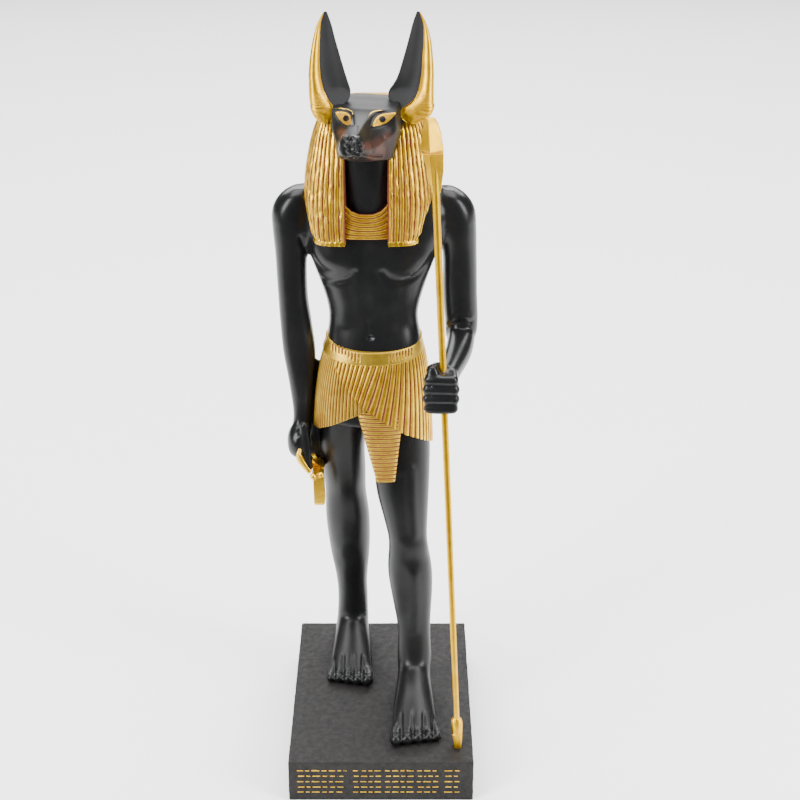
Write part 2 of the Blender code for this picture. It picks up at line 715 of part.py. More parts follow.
def ribbed_panel_rings(top, bottom, ribs, front_of, thickness):
    """A hanging panel with level ribs, between two ends of (left x, right x, z)."""
    rings = []
    for step in range(2 * ribs + 1):
        t = step / (2 * ribs)
        left = top[0] + (bottom[0] - top[0]) * t
        right = top[1] + (bottom[1] - top[1]) * t
        z = top[2] + (bottom[2] - top[2]) * t
        sink = 0.0 if step % 2 else RIB_DEPTH
        ring = []
        for share, back in ((0.0, 1.0), (0.06, 0.2), (0.5, 0.0), (0.94, 0.2), (1.0, 1.0)):
            x = left + (right - left) * share
            ring.append(Vector((x, front_of(t) + back + sink, z)))
        ring.append(Vector((right, front_of(t) + thickness, z)))
        ring.append(Vector((left, front_of(t) + thickness, z)))
        rings.append(ring)
    return rings


def cross_rings():
    """The looped cross: its stem, its bar and its loop, each as rings."""
    top = Vector(CROSS_TOP)
    bar_place = Vector(CROSS_MIDDLE)
    foot = Vector(CROSS_FOOT)
    down = (bar_place - top).normalized()
    level = Vector((0, 1, 0))
    flat = down.cross(level).normalized()
    half = CROSS_THICKNESS / 2

    def square_ring(centre, side, half_side, half_flat):
        return [centre + side * a * half_side + flat * b * half_flat
                for a, b in ((-1, -1), (1, -1), (1, 1), (-1, 1))]

    stem = [square_ring(bar_place - down * 1.5, level, 1.4, half),
            square_ring(bar_place + down * 2.0, level, 1.5, half),
            square_ring(foot - down * 0.6, level, 2.9, half),
            square_ring(foot, level, 2.4, half * 0.8)]
    bar = []
    for offset, size in ((-7.6, 1.5), (-7.0, 2.1), (-1.4, 1.2), (1.4, 1.2), (7.0, 2.1), (7.6, 1.5)):
        bar.append(square_ring(bar_place + level * offset, down, size, half * 0.95))
    loop = []
    loop_centre = top + down * 5.6
    for step in range(17):
        angle = math.tau * step / 16
        out = down * -math.cos(angle) * 6.4 + level * math.sin(angle) * 4.0
        centre = loop_centre + out
        loop.append(square_ring(centre, out.normalized(), 1.3, half * 0.85))
    return stem, bar, loop


def ring_body(name, rings, material):
    """A closed hoop in figure units: the last ring meets the first."""
    mesh = bmesh.new()
    rows = [[mesh.verts.new(point) for point in ring] for ring in rings[:-1]]
    count = len(rows[0])
    for index, row in enumerate(rows):
        following = rows[(index + 1) % len(rows)]
        for side in range(count):
            after = (side + 1) % count
            mesh.faces.new((row[side], row[after], following[after], following[side]))
    bmesh.ops.recalc_face_normals(mesh, faces=mesh.faces)
    place_figure(mesh)
    return hide_tool(new_object(name, mesh, material))


def block(name, low, high, material):
    """An upright block between two corners in millimetres."""
    mesh = bmesh.new()
    bmesh.ops.create_cube(mesh, size=1.0)
    for vert in mesh.verts:
        for axis in range(3):
            middle = (low[axis] + high[axis]) / 2
            vert.co[axis] = (middle + vert.co[axis] * (high[axis] - low[axis])) * MM
    return new_object(name, mesh, material)


def sceptre_line():
    """The sceptre's foot in millimetres and its direction, up through the grip."""
    foot = Vector((SCEPTRE_STANDS_AT[0] * UNIT, SCEPTRE_STANDS_AT[1] * UNIT,
                   PLINTH_HEIGHT + SEAT_GAP))
    grip = Vector(GRIP_CENTRE) * UNIT
    grip.z += PLINTH_HEIGHT + SEAT_GAP
    return foot, (grip - foot).normalized()


def sceptre_ring(centre, half_width, half_depth, turn=0.0, sides=8):
    """A level ring of the sceptre in metres."""
    ring = []
    for side in range(sides):
        angle = math.tau * (side + 0.5) / sides
        across = math.cos(angle) * half_width
        along = math.sin(angle) * half_depth
        ring.append(Vector((centre.x + across * math.cos(turn) - along * math.sin(turn),
                            centre.y + across * math.sin(turn) + along * math.cos(turn),
                            centre.z)) * MM)
    return ring


def shaft_radius(along):
    """The shaft's radius at a distance up from its foot."""
    share = along / SCEPTRE_LENGTH
    return (SHAFT_FOOT_DIAMETER + (SHAFT_TOP_DIAMETER - SHAFT_FOOT_DIAMETER) * share) / 2


def make_sceptre(material):
    """The gilt sceptre: forked foot, tapered shaft, and a crest with a snout ahead."""
    foot, up = sceptre_line()

    def on_line(distance):
        return foot + up * (distance / up.z)

    neck = SCEPTRE_LENGTH * up.z - CREST_HEIGHT
    rings = [sceptre_ring(on_line(0.0), FORK_WIDTH / 2, FORK_DEPTH / 2),
             sceptre_ring(on_line(FORK_HEIGHT * 0.55), FORK_WIDTH / 2, FORK_DEPTH * 0.46),
             sceptre_ring(on_line(FORK_HEIGHT), FORK_WIDTH * 0.36, FORK_DEPTH * 0.3)]
    first = FORK_HEIGHT * 1.25
    last = neck + CREST_HEIGHT * CREST_SEAT
    for step in range(SHAFT_STEPS + 1):
        height = first + (last - first) * step / SHAFT_STEPS
        radius = shaft_radius(height)
        rings.append(sceptre_ring(on_line(height), radius, radius))
    mesh = bmesh.new()
    add_loft(mesh, rings)
    sceptre = new_object("was_sceptre", mesh, material)

    crest = []
    for share, left, ridge, ahead, right, back in CREST_RINGS:
        corners = [(left, back * 0.3), (left, ahead * 0.35), (ridge, ahead),
                   (right, ahead * 0.3), (right, back * 0.5), (0.0, back)]
        middle = on_line(neck + CREST_HEIGHT * share)
        crest.append([(middle + Vector((x, y, 0.0))) * MM for x, y in corners])
    mesh = bmesh.new()
    add_loft(mesh, crest)
    combine(sceptre, hide_tool(new_object("sceptre_crest", mesh, material)), "UNION")

    notch_top = foot.z + FORK_NOTCH_HEIGHT
    notch = block("fork_notch", (foot.x - FORK_WIDTH, foot.y - FORK_NOTCH_WIDTH / 2, foot.z - 1.0),
                  (foot.x + FORK_WIDTH, foot.y + FORK_NOTCH_WIDTH / 2, notch_top), material)
    combine(sceptre, hide_tool(notch), "DIFFERENCE")
    return sceptre


def grip_hole(material):
    """The hole through the fist: the shaft's own line and taper, with the clearance."""
    foot, up = sceptre_line()
    grip = Vector(GRIP_CENTRE) * UNIT
    reach = GRIP_REACH * UNIT
    rings = []
    for offset in (-reach, reach):
        height = grip.z + offset
        centre = foot + up * (height / up.z)
        radius = shaft_radius(height) + GRIP_CLEARANCE / math.cos(math.pi / 8)
        rings.append(sceptre_ring(centre, radius, radius))
    mesh = bmesh.new()
    add_loft(mesh, rings)
    return hide_tool(new_object("grip_hole", mesh, material))


def make_plinth(material):
    """The slab plinth, with softened edges."""
    half_width = PLINTH_WIDTH / 2
    half_depth = PLINTH_DEPTH / 2
    plinth = block("plinth", (-half_width, -half_depth, 0.0),
                   (half_width, half_depth, PLINTH_HEIGHT), material)
    edge = plinth.modifiers.new("soft edges", "BEVEL")
    edge.width = PLINTH_EDGE * MM
    edge.segments = 2
    return plinth


def dress_figure(figure, gold):
    """Join the modelled headdress, ears, kilt, apron, collar and looped cross."""
    joined = [figure_tool("headdress", wig_rings(), gold, (None, Vector(CROWN_PEAK))),
              figure_tool("right_ear", ear_rings(RIGHT_EAR), gold),
              figure_tool("left_ear", ear_rings(LEFT_EAR), gold)]
    kilt_top_peak = Vector((KILT_CENTRE[0], KILT_CENTRE[1], KILT_TOP - 2.0))
    kilt_foot_peak = Vector((KILT_CENTRE[0] + KILT_DRIFT, KILT_CENTRE[1], 119.0))
    joined.append(figure_tool("kilt_inner_wrap", kilt_under_rings(), gold,
                              (kilt_top_peak, kilt_foot_peak)))
    joined.append(figure_tool("kilt_outer_wrap", kilt_over_rings(), gold))
    joined.append(figure_tool("belt", belt_rings(), gold,
                              (kilt_top_peak + Vector((0, 0, 2.0)),
                               kilt_top_peak - Vector((0, 0, 3.0)))))
    joined.append(figure_tool("apron", ribbed_panel_rings(
        APRON_TOP, APRON_BOTTOM, APRON_RIBS, lambda t: 0.6 - 3.6 * t, 9.0), gold))
    joined.append(figure_tool("collar", ribbed_panel_rings(
        COLLAR_TOP, COLLAR_BOTTOM, COLLAR_RIBS, lambda t: 2.0 - 0.9 * t, 8.0), gold))
    stem, bar, loop = cross_rings()
    joined.append(figure_tool("cross_stem", stem, gold))
    joined.append(figure_tool("cross_bar", bar, gold))
    joined.append(ring_body("cross_loop", loop, gold))
    for tool in joined:
        combine(figure, tool, "UNION")


def trim_figure(figure, material):
    """Cut the soles flat and bore the grip."""
    floor = PLINTH_HEIGHT + SEAT_GAP
    reach = FIGURE_HEIGHT / 2
    ground = block("ground_cut", (-reach, -reach, 0.0), (reach, reach, floor), material)
    combine(figure, hide_tool(ground), "DIFFERENCE")
    combine(figure, grip_hole(material), "DIFFERENCE")


def main():
    for item in list(bpy.data.objects):
        bpy.data.objects.remove(item, do_unlink=True)
    black = new_material("black_resin", (0.012, 0.012, 0.014), 0.28, 0.0)
    gold = new_material("gold_paint", (0.72, 0.48, 0.12), 0.38, 0.8)
    stone = new_material("rough_black_plinth", (0.02, 0.018, 0.018), 0.8, 0.0)
    figure, thin = make_cast_body(black)
    set_triangle_count(figure, thin)
    dress_figure(figure, gold)
    trim_figure(figure, black)
    make_sceptre(gold)
    make_plinth(stone)


main()
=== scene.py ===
"""The dressed model of a jackal-headed guardian figurine in black and gold on its plinth.

Sizes and places are in figure units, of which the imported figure's height from its soles to
its ear tips holds EAR_TIP; one unit is about a millimetre. X points to the figure's left
hand, -Y ahead of it and Z up from its soles. The plinth's and camera's values are in metres.
"""

import math

import bmesh
import bpy
import numpy as np
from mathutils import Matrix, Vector, noise
from mathutils.bvhtree import BVHTree


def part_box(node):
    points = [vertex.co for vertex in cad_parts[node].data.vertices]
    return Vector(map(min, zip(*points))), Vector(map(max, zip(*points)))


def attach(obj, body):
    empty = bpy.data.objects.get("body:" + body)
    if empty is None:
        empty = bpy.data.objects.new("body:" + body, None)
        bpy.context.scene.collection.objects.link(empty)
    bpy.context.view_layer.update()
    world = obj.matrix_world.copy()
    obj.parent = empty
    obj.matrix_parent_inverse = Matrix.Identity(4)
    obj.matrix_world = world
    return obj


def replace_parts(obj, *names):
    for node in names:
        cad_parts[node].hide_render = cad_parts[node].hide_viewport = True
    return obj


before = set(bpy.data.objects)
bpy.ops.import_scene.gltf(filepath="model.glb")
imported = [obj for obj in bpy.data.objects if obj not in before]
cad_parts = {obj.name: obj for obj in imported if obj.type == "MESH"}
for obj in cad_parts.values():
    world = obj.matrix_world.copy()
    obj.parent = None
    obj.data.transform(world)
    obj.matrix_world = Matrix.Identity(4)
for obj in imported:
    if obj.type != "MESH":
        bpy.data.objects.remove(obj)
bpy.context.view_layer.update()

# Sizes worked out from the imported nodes
EAR_TIP = 278.7
FIGURE_LOW, FIGURE_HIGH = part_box("anubis_figure")
PLINTH_LOW, PLINTH_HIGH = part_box("plinth")
SOLES = FIGURE_LOW[2]
UNIT = (FIGURE_HIGH[2] - SOLES) / EAR_TIP

# Camera, fitted to the plinth's edges in the photograph
CAMERA_PLACE = (0.0075, -0.5896, 0.4167)
CAMERA_TILT = math.radians(65.7)
CAMERA_LENS = 75.24

# How finely the clay-like bodies are grown, in figure units
HEAD_GRAIN = 0.32
TRUNK_GRAIN = 0.58
LEGS_GRAIN = 0.52

# The angle from which a piece's edges stay sharp, in degrees
SHARP_NEVER = 180.0
SHARP_PAINT = 60.0
SHARP_RELIEF = 50.0
SHARP_CROSS = 40.0
SHARP_SCEPTRE = 30.0

# How round blobs and bars are at their ends, and the rings that end a bar
BLOB_POLE = 0.2
BAR_ROUNDNESS = 0.98
BAR_END = (0.2, 0.5, 0.8, 1.0)

# Stations down each limb as (x, y, z, half width, half depth)
TORSO = [
    (-3.3, 17.0, 118.0, 20.5, 13.5),
    (-2.8, 16.5, 136.0, 20.0, 13.5),
    (-2.6, 16.5, 152.0, 18.4, 11.8),
    (-2.8, 17.0, 162.0, 17.3, 10.6),
    (-2.8, 17.0, 172.0, 19.4, 11.6),
    (-2.9, 16.5, 184.0, 23.4, 12.6),
    (-2.6, 16.5, 195.0, 27.2, 13.2),
    (-2.3, 17.0, 203.5, 30.0, 12.0),
    (-2.3, 17.5, 209.0, 29.6, 9.6),
    (-2.5, 17.5, 213.0, 26.6, 7.6),
    (-2.8, 17.0, 216.6, 19.5, 7.6),
    (-4.0, 15.0, 219.0, 9.5, 8.5),
]
NECK = [
    (-3.6, 15.0, 200.0, 10.5, 10.5),
    (-4.2, 12.5, 212.0, 9.3, 10.0),
    (-4.6, 11.5, 224.0, 9.3, 9.6),
    (-4.6, 11.0, 234.0, 9.3, 9.6),
]
LEFT_LEG = [
    (8.4, 15.6, 124.0, 10.6, 11.6),
    (8.4, 13.6, 106.0, 11.2, 11.6),
    (8.5, 11.0, 90.0, 10.8, 11.0),
    (9.9, 8.8, 75.5, 8.8, 9.4),
    (10.8, 7.4, 66.4, 7.9, 8.4),
    (11.6, 7.6, 53.0, 9.1, 9.4),
    (12.5, 6.6, 40.5, 8.3, 8.4),
    (13.3, 3.4, 27.0, 7.0, 6.6),
    (13.5, 0.6, 15.0, 7.4, 7.2),
    (13.6, 0.4, 6.0, 6.6, 6.6),
]
RIGHT_LEG = [
    (-14.4, 17.5, 124.0, 10.0, 11.4),
    (-16.2, 20.0, 106.0, 9.6, 10.8),
    (-15.2, 23.8, 90.0, 8.7, 10.6),
    (-14.9, 25.8, 80.0, 8.4, 9.2),
    (-14.3, 28.2, 67.0, 9.1, 9.4),
    (-13.7, 31.6, 51.5, 8.5, 8.8),
    (-13.2, 34.4, 36.0, 7.0, 7.0),
    (-12.9, 36.6, 25.0, 6.7, 6.6),
    (-13.0, 39.2, 13.0, 6.9, 6.9),
    (-13.0, 40.6, 6.0, 6.6, 6.4),
]
RIGHT_ARM = [
    (-29.4, 17.2, 212.9, 3.4, 4.0),
    (-31.2, 17.2, 210.0, 6.2, 6.8),
    (-33.0, 17.3, 205.0, 7.7, 8.0),
    (-33.8, 17.4, 198.0, 7.4, 8.2),
    (-34.2, 17.8, 186.0, 6.2, 7.2),
    (-34.0, 18.0, 170.0, 5.9, 6.6),
    (-33.1, 18.0, 158.0, 6.2, 6.2),
    (-32.0, 17.0, 146.0, 6.4, 6.3),
    (-31.4, 15.6, 134.0, 5.1, 5.5),
    (-31.4, 14.4, 120.0, 3.5, 4.0),
    (-32.3, 12.6, 112.0, 3.8, 5.4),
]
LEFT_UPPER_ARM = [
    (24.6, 17.2, 212.4, 3.4, 4.0),
    (26.2, 17.2, 209.4, 6.3, 6.8),
    (28.0, 17.4, 204.4, 7.8, 8.0),
    (29.2, 17.7, 197.0, 7.5, 8.2),
    (30.4, 18.6, 186.0, 6.7, 7.2),
    (30.8, 19.6, 170.0, 6.8, 6.8),
    (31.6, 20.6, 157.0, 6.45, 6.6),
    (31.4, 20.8, 151.0, 5.9, 6.0),
    (31.0, 20.4, 147.0, 3.6, 4.4),
]

# Stations along forearm and foot, whose rings stand across the path
LEFT_FOREARM = [
    (31.6, 23.6, 152.0, 3.8, 4.0),
    (31.6, 18.0, 151.4, 5.2, 5.4),
    (30.1, 7.0, 149.6, 5.1, 5.3),
    (26.9, -6.0, 147.8, 4.2, 4.5),
    (24.8, -14.0, 147.0, 3.8, 4.6),
]
LEFT_FOOT = [
    (13.6, 7.4, 4.0, 3.4, 3.6),
    (13.6, 3.6, 5.4, 6.4, 6.6),
    (13.5, -4.0, 6.6, 7.2, 8.6),
    (13.3, -12.0, 5.6, 8.0, 7.8),
    (13.3, -20.0, 3.6, 8.9, 6.2),
    (13.4, -28.0, 2.0, 9.4, 4.8),
    (13.6, -34.5, 1.2, 9.0, 3.4),
]
ARM_WEB = [
    (-27.0, 18.0, 141.5, 4.5, 1.2),
    (-27.0, 17.6, 134.0, 6.0, 2.0),
    (-27.0, 16.4, 120.0, 6.0, 2.2),
    (-26.0, 16.4, 104.0, 6.0, 2.2),
    (-25.0, 17.4, 95.0, 4.6, 1.8),
]
RIGHT_FOOT_SHIFT = (-27.0, 42.0)

# Muscles as (centre, half sizes): breast on both sides and belly
MUSCLES = [
    ((-14.0, 10.4, 191.0), (12.0, 6.8, 10.6)),
    ((8.8, 10.8, 191.0), (12.0, 6.8, 10.6)),
    ((-3.6, 11.0, 164.0), (8.0, 5.2, 15.0)),
]

# The left fist, counted from the grip: palm, a finger's joints as (x, y), its bars' radii, the
# first finger's height, the way down to the next, how far the middle ones stand out, and thumb
LEFT_PALM = [((-0.4, 5.0, -0.4), (6.4, 5.2, 9.4)), ((-0.8, 1.0, -0.4), (5.8, 4.2, 8.6))]
LEFT_JOINTS = [(-5.6, -2.0), (-3.0, -2.6), (3.5, -2.4), (3.4, 4.4)]
LEFT_FINGER_RADII = (2.1, 2.15, 2.1)
LEFT_FINGER_TOP = 5.2
LEFT_FINGER_PITCH = 3.85
LEFT_FINGER_BULGE = 0.5
LEFT_THUMB = ((-4.2, -0.4, 8.2), (-2.4, 6.0, 6.4), 2.6)

# The right fist: palm, thumb, first finger and the way back to the next
RIGHT_PALM = ((-33.2, 11.4, 109.6), (4.3, 6.6, 7.3))
RIGHT_THUMB = ((-30.4, 6.8, 118.0), (-28.9, 5.6, 100.4), 2.0)
RIGHT_FINGER = ((-32.8, 9.0, 107.6), (4.4, 2.3, 4.8))
RIGHT_FINGER_PITCH = 3.2
FINGERS = 4

# How often the clay is softened: the whole trunk, its torso, and both again once marked; the
# legs, their marks and the toes, and the head
TRUNK_PASSES, TORSO_PASSES, TRUNK_LAST_PASSES = 7, 24, 3
LEGS_PASSES, LEG_MARK_PASSES, TOE_PASSES = 6, 12, 1
HEAD_PASSES, HEAD_LAST_PASSES = 14, 1

# Where the torso is smoothed and how soon that fades; the same below an instep's top, and
# from the toes backwards, where a small share is left
TORSO_REACH = (160.0, 200.0)
TORSO_FADE = 8.0
INSTEP_TOP, INSTEP_FADE = 44.0, 12.0
TOE_START, TOE_FADE, TOE_SOFTNESS = 2.0, 6.0, 0.03
ABOVE_TOES_FADE = 8.0

# The toes from the big one outwards as (x, half width), and how each steps back
LEFT_TOES = [(5.8, 2.3), (10.3, 2.2), (14.8, 2.1), (19.0, 1.9), (22.4, 1.6)]
RIGHT_TOES = [(-6.1, 2.3), (-10.5, 2.1), (-14.5, 2.0), (-18.4, 1.8), (-21.8, 1.6)]
TOE_TIP = -35.6
TOE_STEP_BACK = 0.9
TOE_LENGTH = 5.6
INSTEP_PASSES = 90
TOE_BALL = (1.2, 2.6)
TOE_GROOVE = (0.95, 0.6, 15.0)
TOE_GROOVE_FADE = 3.0
TOE_GROOVE_TOP = 12.0
TORSO_TURN = math.radians(4.0)
TORSO_SIDES = 40
TORSO_POWER = 2.3
SOLE_DEPTH = 0.5

# The head from its back to the nose: ahead of the pivot, height of the middle of its top,
# four corners down its side as (half width, height), and height of the middle underneath
HEAD = [
    (-12.0, 245.5, (5.0, 245.5), (8.5, 244.0), (9.5, 236.0), (7.5, 229.0), 228.0),
    (-4.0, 248.8, (6.0, 248.8), (11.0, 248.0), (12.0, 237.0), (9.5, 227.5), 226.5),
    (3.0, 247.9, (6.0, 247.9), (11.8, 247.2), (12.4, 238.0), (9.8, 227.2), 226.0),
    (8.0, 246.9, (6.0, 246.9), (12.1, 246.4), (12.3, 238.5), (10.2, 228.2), 227.0),
    (10.0, 246.5, (6.0, 246.5), (12.0, 246.1), (12.0, 239.0), (10.2, 228.6), 227.4),
    (10.6, 246.1, (4.6, 246.0), (11.0, 244.4), (11.7, 239.0), (10.1, 228.7), 227.5),
    (13.0, 245.4, (3.4, 245.3), (6.6, 242.9), (10.5, 238.4), (9.4, 229.2), 228.2),
    (16.0, 244.8, (2.8, 244.7), (4.8, 241.9), (9.2, 237.4), (8.4, 229.9), 228.9),
    (20.0, 244.2, (2.5, 244.1), (4.2, 241.3), (7.9, 236.4), (7.1, 230.8), 229.8),
    (24.0, 243.7, (2.5, 243.6), (4.0, 241.3), (6.6, 236.4), (5.9, 232.4), 231.6),
    (28.0, 243.2, (2.5, 243.1), (3.8, 241.3), (5.2, 236.8), (4.6, 233.9), 233.1),
    (30.6, 242.7, (2.4, 242.5), (3.5, 240.6), (4.3, 237.2), (3.7, 234.8), 234.1),
    (32.4, 241.6, (1.9, 241.4), (2.9, 239.8), (3.4, 237.4), (2.8, 235.5), 235.0),
    (33.2, 240.4, (1.2, 240.2), (1.9, 239.2), (2.2, 237.6), (1.8, 235.8), 235.4),
]
HEAD_PIVOT = (-3.4, 10.0)
HEAD_TURN = math.radians(12.5)

# The lumps of the nose pad: across, ahead, height and radius
NOSE_LUMPS = [
    (-1.6, 31.0, 241.4, 1.3), (0.8, 32.0, 241.9, 1.3), (3.1, 31.2, 241.4, 1.3),
    (-2.4, 31.1, 239.2, 1.3), (-0.4, 32.9, 240.0, 1.2), (2.0, 32.9, 240.1, 1.2),
    (4.2, 31.1, 239.3, 1.3), (-1.8, 31.3, 237.0, 1.2), (0.2, 33.0, 237.8, 1.1),
    (2.2, 32.8, 237.8, 1.2), (4.0, 31.2, 237.0, 1.2), (-0.8, 31.9, 236.0, 1.1),
    (1.3, 32.7, 236.4, 1.1), (3.3, 31.6, 236.0, 1.1),
]
CHIN_LUMPS = [(-1.4, 29.8, 235.2, 1.6), (1.8, 29.8, 235.2, 1.6)]
NOSE_START = 30.0
NOSE_CRISP, NOSE_FADE, NOSE_SOFTNESS = 31.0, 3.0, 0.15
# How brown the face's black turns at the middle of a spot
BROWN_SPOT_SHARE = 0.75

# Marks on the face as the photograph shows them, in its pixels
FACE_GROOVES = [
    ([(343, 157.6), (349, 156.8), (354, 153.6), (358, 151.4), (362.8, 153.8), (369, 155.8),
      (376, 156.3), (382, 155.8)], 1.4, 0.6),
    ([(353, 152.0), (353.5, 157)], 1.2, 0.6),
    ([(333, 110.4), (340, 109.4), (348, 111.0), (352.5, 116), (353.4, 124)], 1.6, 0.35),
    ([(335, 114.5), (340, 121.5), (346, 126.4), (352.2, 125.6)], 1.5, 0.3),
    ([(370.6, 124.5), (373, 117.5), (377.6, 113.4), (385, 111.6), (396, 110.8)], 1.8, 0.4),
    ([(372, 128.0), (379, 127.2), (387, 124.2), (392.5, 119.2), (397, 114)], 1.6, 0.3),
    ([(357, 127), (356, 134), (361, 139)], 2.0, 0.3),
    ([(371, 140), (373, 149), (372, 156)], 3.4, 0.3),
    ([(384, 138), (386.5, 148), (386, 156)], 3.0, 0.3),
]
LEFT_EYE = [(373.4, 122.7), (375.4, 118.9), (378.8, 115.6), (383.7, 113.8), (389.8, 113.1),
            (396.0, 112.3), (392.9, 117.0), (389.8, 120.1), (386.2, 123.0), (382.1, 124.7),
            (377.6, 125.8), (373.0, 126.5)]
RIGHT_EYE = [(335.4, 112.4), (339.6, 111.6), (344.6, 112.0), (348.7, 114.2), (350.6, 117.2),
             (351.4, 123.6), (347.4, 125.1), (343.9, 123.6), (340.3, 120.6), (337.4, 116.6)]
LEFT_PUPIL = (382.4, 119.3)
RIGHT_PUPIL = (346.4, 118.6)
PUPIL_SIZE = (3.4, 3.2)
PUPIL_STEPS = 24
EYE_STEPS = 4
LEFT_BROW = [(368.6, 117.2), (369.5, 114.8), (372.0, 112.3), (376.2, 110.8), (383.0, 110.2)]
RIGHT_BROW = [(335.0, 108.9), (339.8, 108.2), (345.4, 108.9), (349.5, 110.2), (352.2, 111.9),
              (352.6, 114.5)]
EYE_LIFT, BROW_LIFT, PUPIL_LIFT = 0.14, 0.1, 0.34
BROW_HALF_WIDTH = 0.42
# Spots on the cheeks and muzzle where the face's black is made browner, as (centre, reach) in pixels
CHEEK_BROWN_SPOTS = [((381, 149), 15), ((368, 147), 8), ((342, 133), 6), ((388, 138), 9), ((372, 157), 8)]

# Marks on the torso and hands, in the photograph's pixels: route, half width, depth
TRUNK_MARKS = [
    ([(330, 262), (338, 268), (350, 266)], 14.0, -0.6),
    ([(383, 265), (396, 269), (410, 265)], 14.0, -0.6),
    ([(322, 279.5), (328, 281.6), (334, 282), (341, 281.2), (349, 278.6), (355, 272)], 4.6, 0.5),
    ([(383, 272), (389, 278.4), (395, 281), (403, 281.6), (411, 279), (419, 274), (427, 265),
      (433, 255)], 4.6, 0.5),
    ([(363.5, 244), (364, 258), (364.5, 272), (365, 290), (366, 318)], 9.0, 0.35),
    ([(338, 288), (343, 302), (346, 320)], 10.0, -0.4),
    ([(394, 288), (391, 304), (389, 330)], 10.0, -0.4),
    ([(366.5, 322), (366.5, 330), (368.5, 336)], 3.0, 0.6),
    ([(368.5, 338.4), (371.5, 337.8)], 3.0, 1.2),
    ([(409.5, 275), (410.3, 275.4)], 2.2, -0.35),
    ([(300, 238), (304, 246), (308, 256)], 4.0, 0.4),
    ([(447, 329), (450, 325.8), (455, 323), (462, 321.4), (471, 322.6)], 1.8, 0.7),
    ([(447, 323), (455, 317.8), (462, 316), (471, 317)], 4.5, -0.4),
    ([(429, 385.7), (440, 385.9), (450, 386.3)], 1.3, 0.6),
    ([(429, 395), (440, 395.2), (451, 395.6)], 1.3, 0.6),
    ([(430, 404.2), (440, 404.4), (453, 404.6)], 1.3, 0.6),
    ([(299.5, 436), (297, 441), (294.5, 447)], 1.6, -0.4),
    ([(304.5, 420), (306.4, 429), (310.6, 453)], 1.8, -0.3),
]
LEG_MARKS = [
    ([(411, 470), (412, 500), (414, 535)], 8.0, -0.6),
    ([(400, 480), (403, 510), (406, 535)], 9.0, 0.5),
    ([(410, 561), (424, 561)], 8.0, 0.25),
    ([(410, 546), (424, 546)], 10.0, -0.4),
    ([(414, 575), (415, 605), (414, 628)], 8.0, -0.6),
    ([(403, 575), (405, 600), (405, 615)], 9.0, 0.4),
    ([(341, 546), (350, 546)], 10.0, -0.4),
    ([(340, 561), (352, 561)], 8.0, 0.25),
]

# The headdress as (z, centre x, half width, front y, back y)
WIG_LEVELS = [
    (194.8, -5.05, 20.1, -0.6, 31.0),
    (202.0, -4.9, 22.0, -0.4, 32.0),
    (210.0, -4.4, 24.0, 0.2, 32.4),
    (216.0, -4.2, 24.2, 0.8, 32.2),
    (224.0, -4.1, 23.2, 1.8, 31.2),
    (231.0, -3.7, 22.1, 3.2, 29.8),
    (237.0, -3.0, 20.9, 5.0, 28.2),
    (242.0, -2.8, 18.4, 8.0, 26.4),
    (245.6, -2.9, 14.2, 11.0, 24.0),
    (247.6, -3.2, 9.6, 13.6, 21.0),
]
CROWN_PEAK = (-3.2, 15.5, 248.1)
WIG_BAND = 1.8
BAND_STEP = 0.4
BAND_LIP = 0.3
BAND_EDGE = 0.25
WIG_STEPS = 6
BAND_STEPS = 3
LAPPET_FLUTES = 9
BACK_FLUTES = 26
LAPPET_SHARE = 0.15
FLUTE_DEPTH = 0.6
FLUTE_STEPS = 8
FLATNESS = 0.52

# How the flutes waver and are pitted: how far aside, how often along the outline and up it,
# and how often the pits come up it, how deep they are beside a flute and where they are drawn
WAVER = (0.2, 130.0, 0.1, 0.9)
PIT_DEPTH = 1.2
PIT_DRAW = 5.0
WIG_SQUARENESS = [(194.8, 5.2), (204.0, 4.2), (214.0, 3.3), (240.0, 2.6), (248.0, 2.6)]
OUTLINE_STEPS = 480
FACE_OPENING = (-13.2, 3.4)
FACE_OPENING_DEPTH = 9.0
FACE_OPENING_TOP = 248.6
FACE_OPENING_FADE = 6.0
FACE_OPENING_LIP = 1.0

# The ears as (z, outer x, rim x, inner x)
RIGHT_EAR = [
    (278.7, -19.9, -19.6, -18.7),
    (274.6, -22.2, -20.9, -17.2),
    (269.3, -23.8, -21.4, -15.8),
    (263.0, -25.0, -21.6, -14.0),
    (257.0, -25.6, -21.3, -12.2),
    (254.0, -25.6, -20.7, -11.2),
    (250.9, -25.6, -19.8, -10.4),
    (248.2, -25.4, -18.4, -11.2),
    (246.6, -25.2, -17.2, -13.4),
    (245.2, -25.1, -16.5, -15.6),
    (243.0, -24.2, -16.3, -16.0),
    (241.2, -22.6, -17.1, -16.9),
    (240.2, -20.0, -18.4, -18.3),
]
LEFT_EAR = [
    (278.7, 14.7, 14.4, 13.5),
    (274.6, 17.0, 15.7, 12.0),
    (269.3, 18.6, 16.0, 10.6),
    (263.0, 19.4, 15.6, 8.8),
    (257.0, 19.8, 15.2, 6.9),
    (254.0, 19.8, 14.7, 5.4),
    (251.0, 19.8, 14.0, 3.4),
    (248.6, 19.8, 12.7, 3.6),
    (247.0, 19.8, 10.8, 5.4),
    (245.6, 20.0, 8.4, 7.0),
    (243.5, 19.2, 7.6, 7.4),
    (241.5, 17.2, 8.6, 8.4),
    (240.2, 13.6, 10.5, 10.4),
]
EAR_BOWL_FOOT = (246.0, 6.0)
EAR_BOWL = [(0.2, 0.36), (0.4, 0.44), (0.6, 0.4), (0.8, 0.26), (0.94, 0.1)]
EAR_BACK = [(0.0, 0.12), (0.0, 0.4), (0.12, 0.75), (0.3, 0.94), (0.5, 1.0), (0.7, 0.96),
            (0.9, 0.76)]

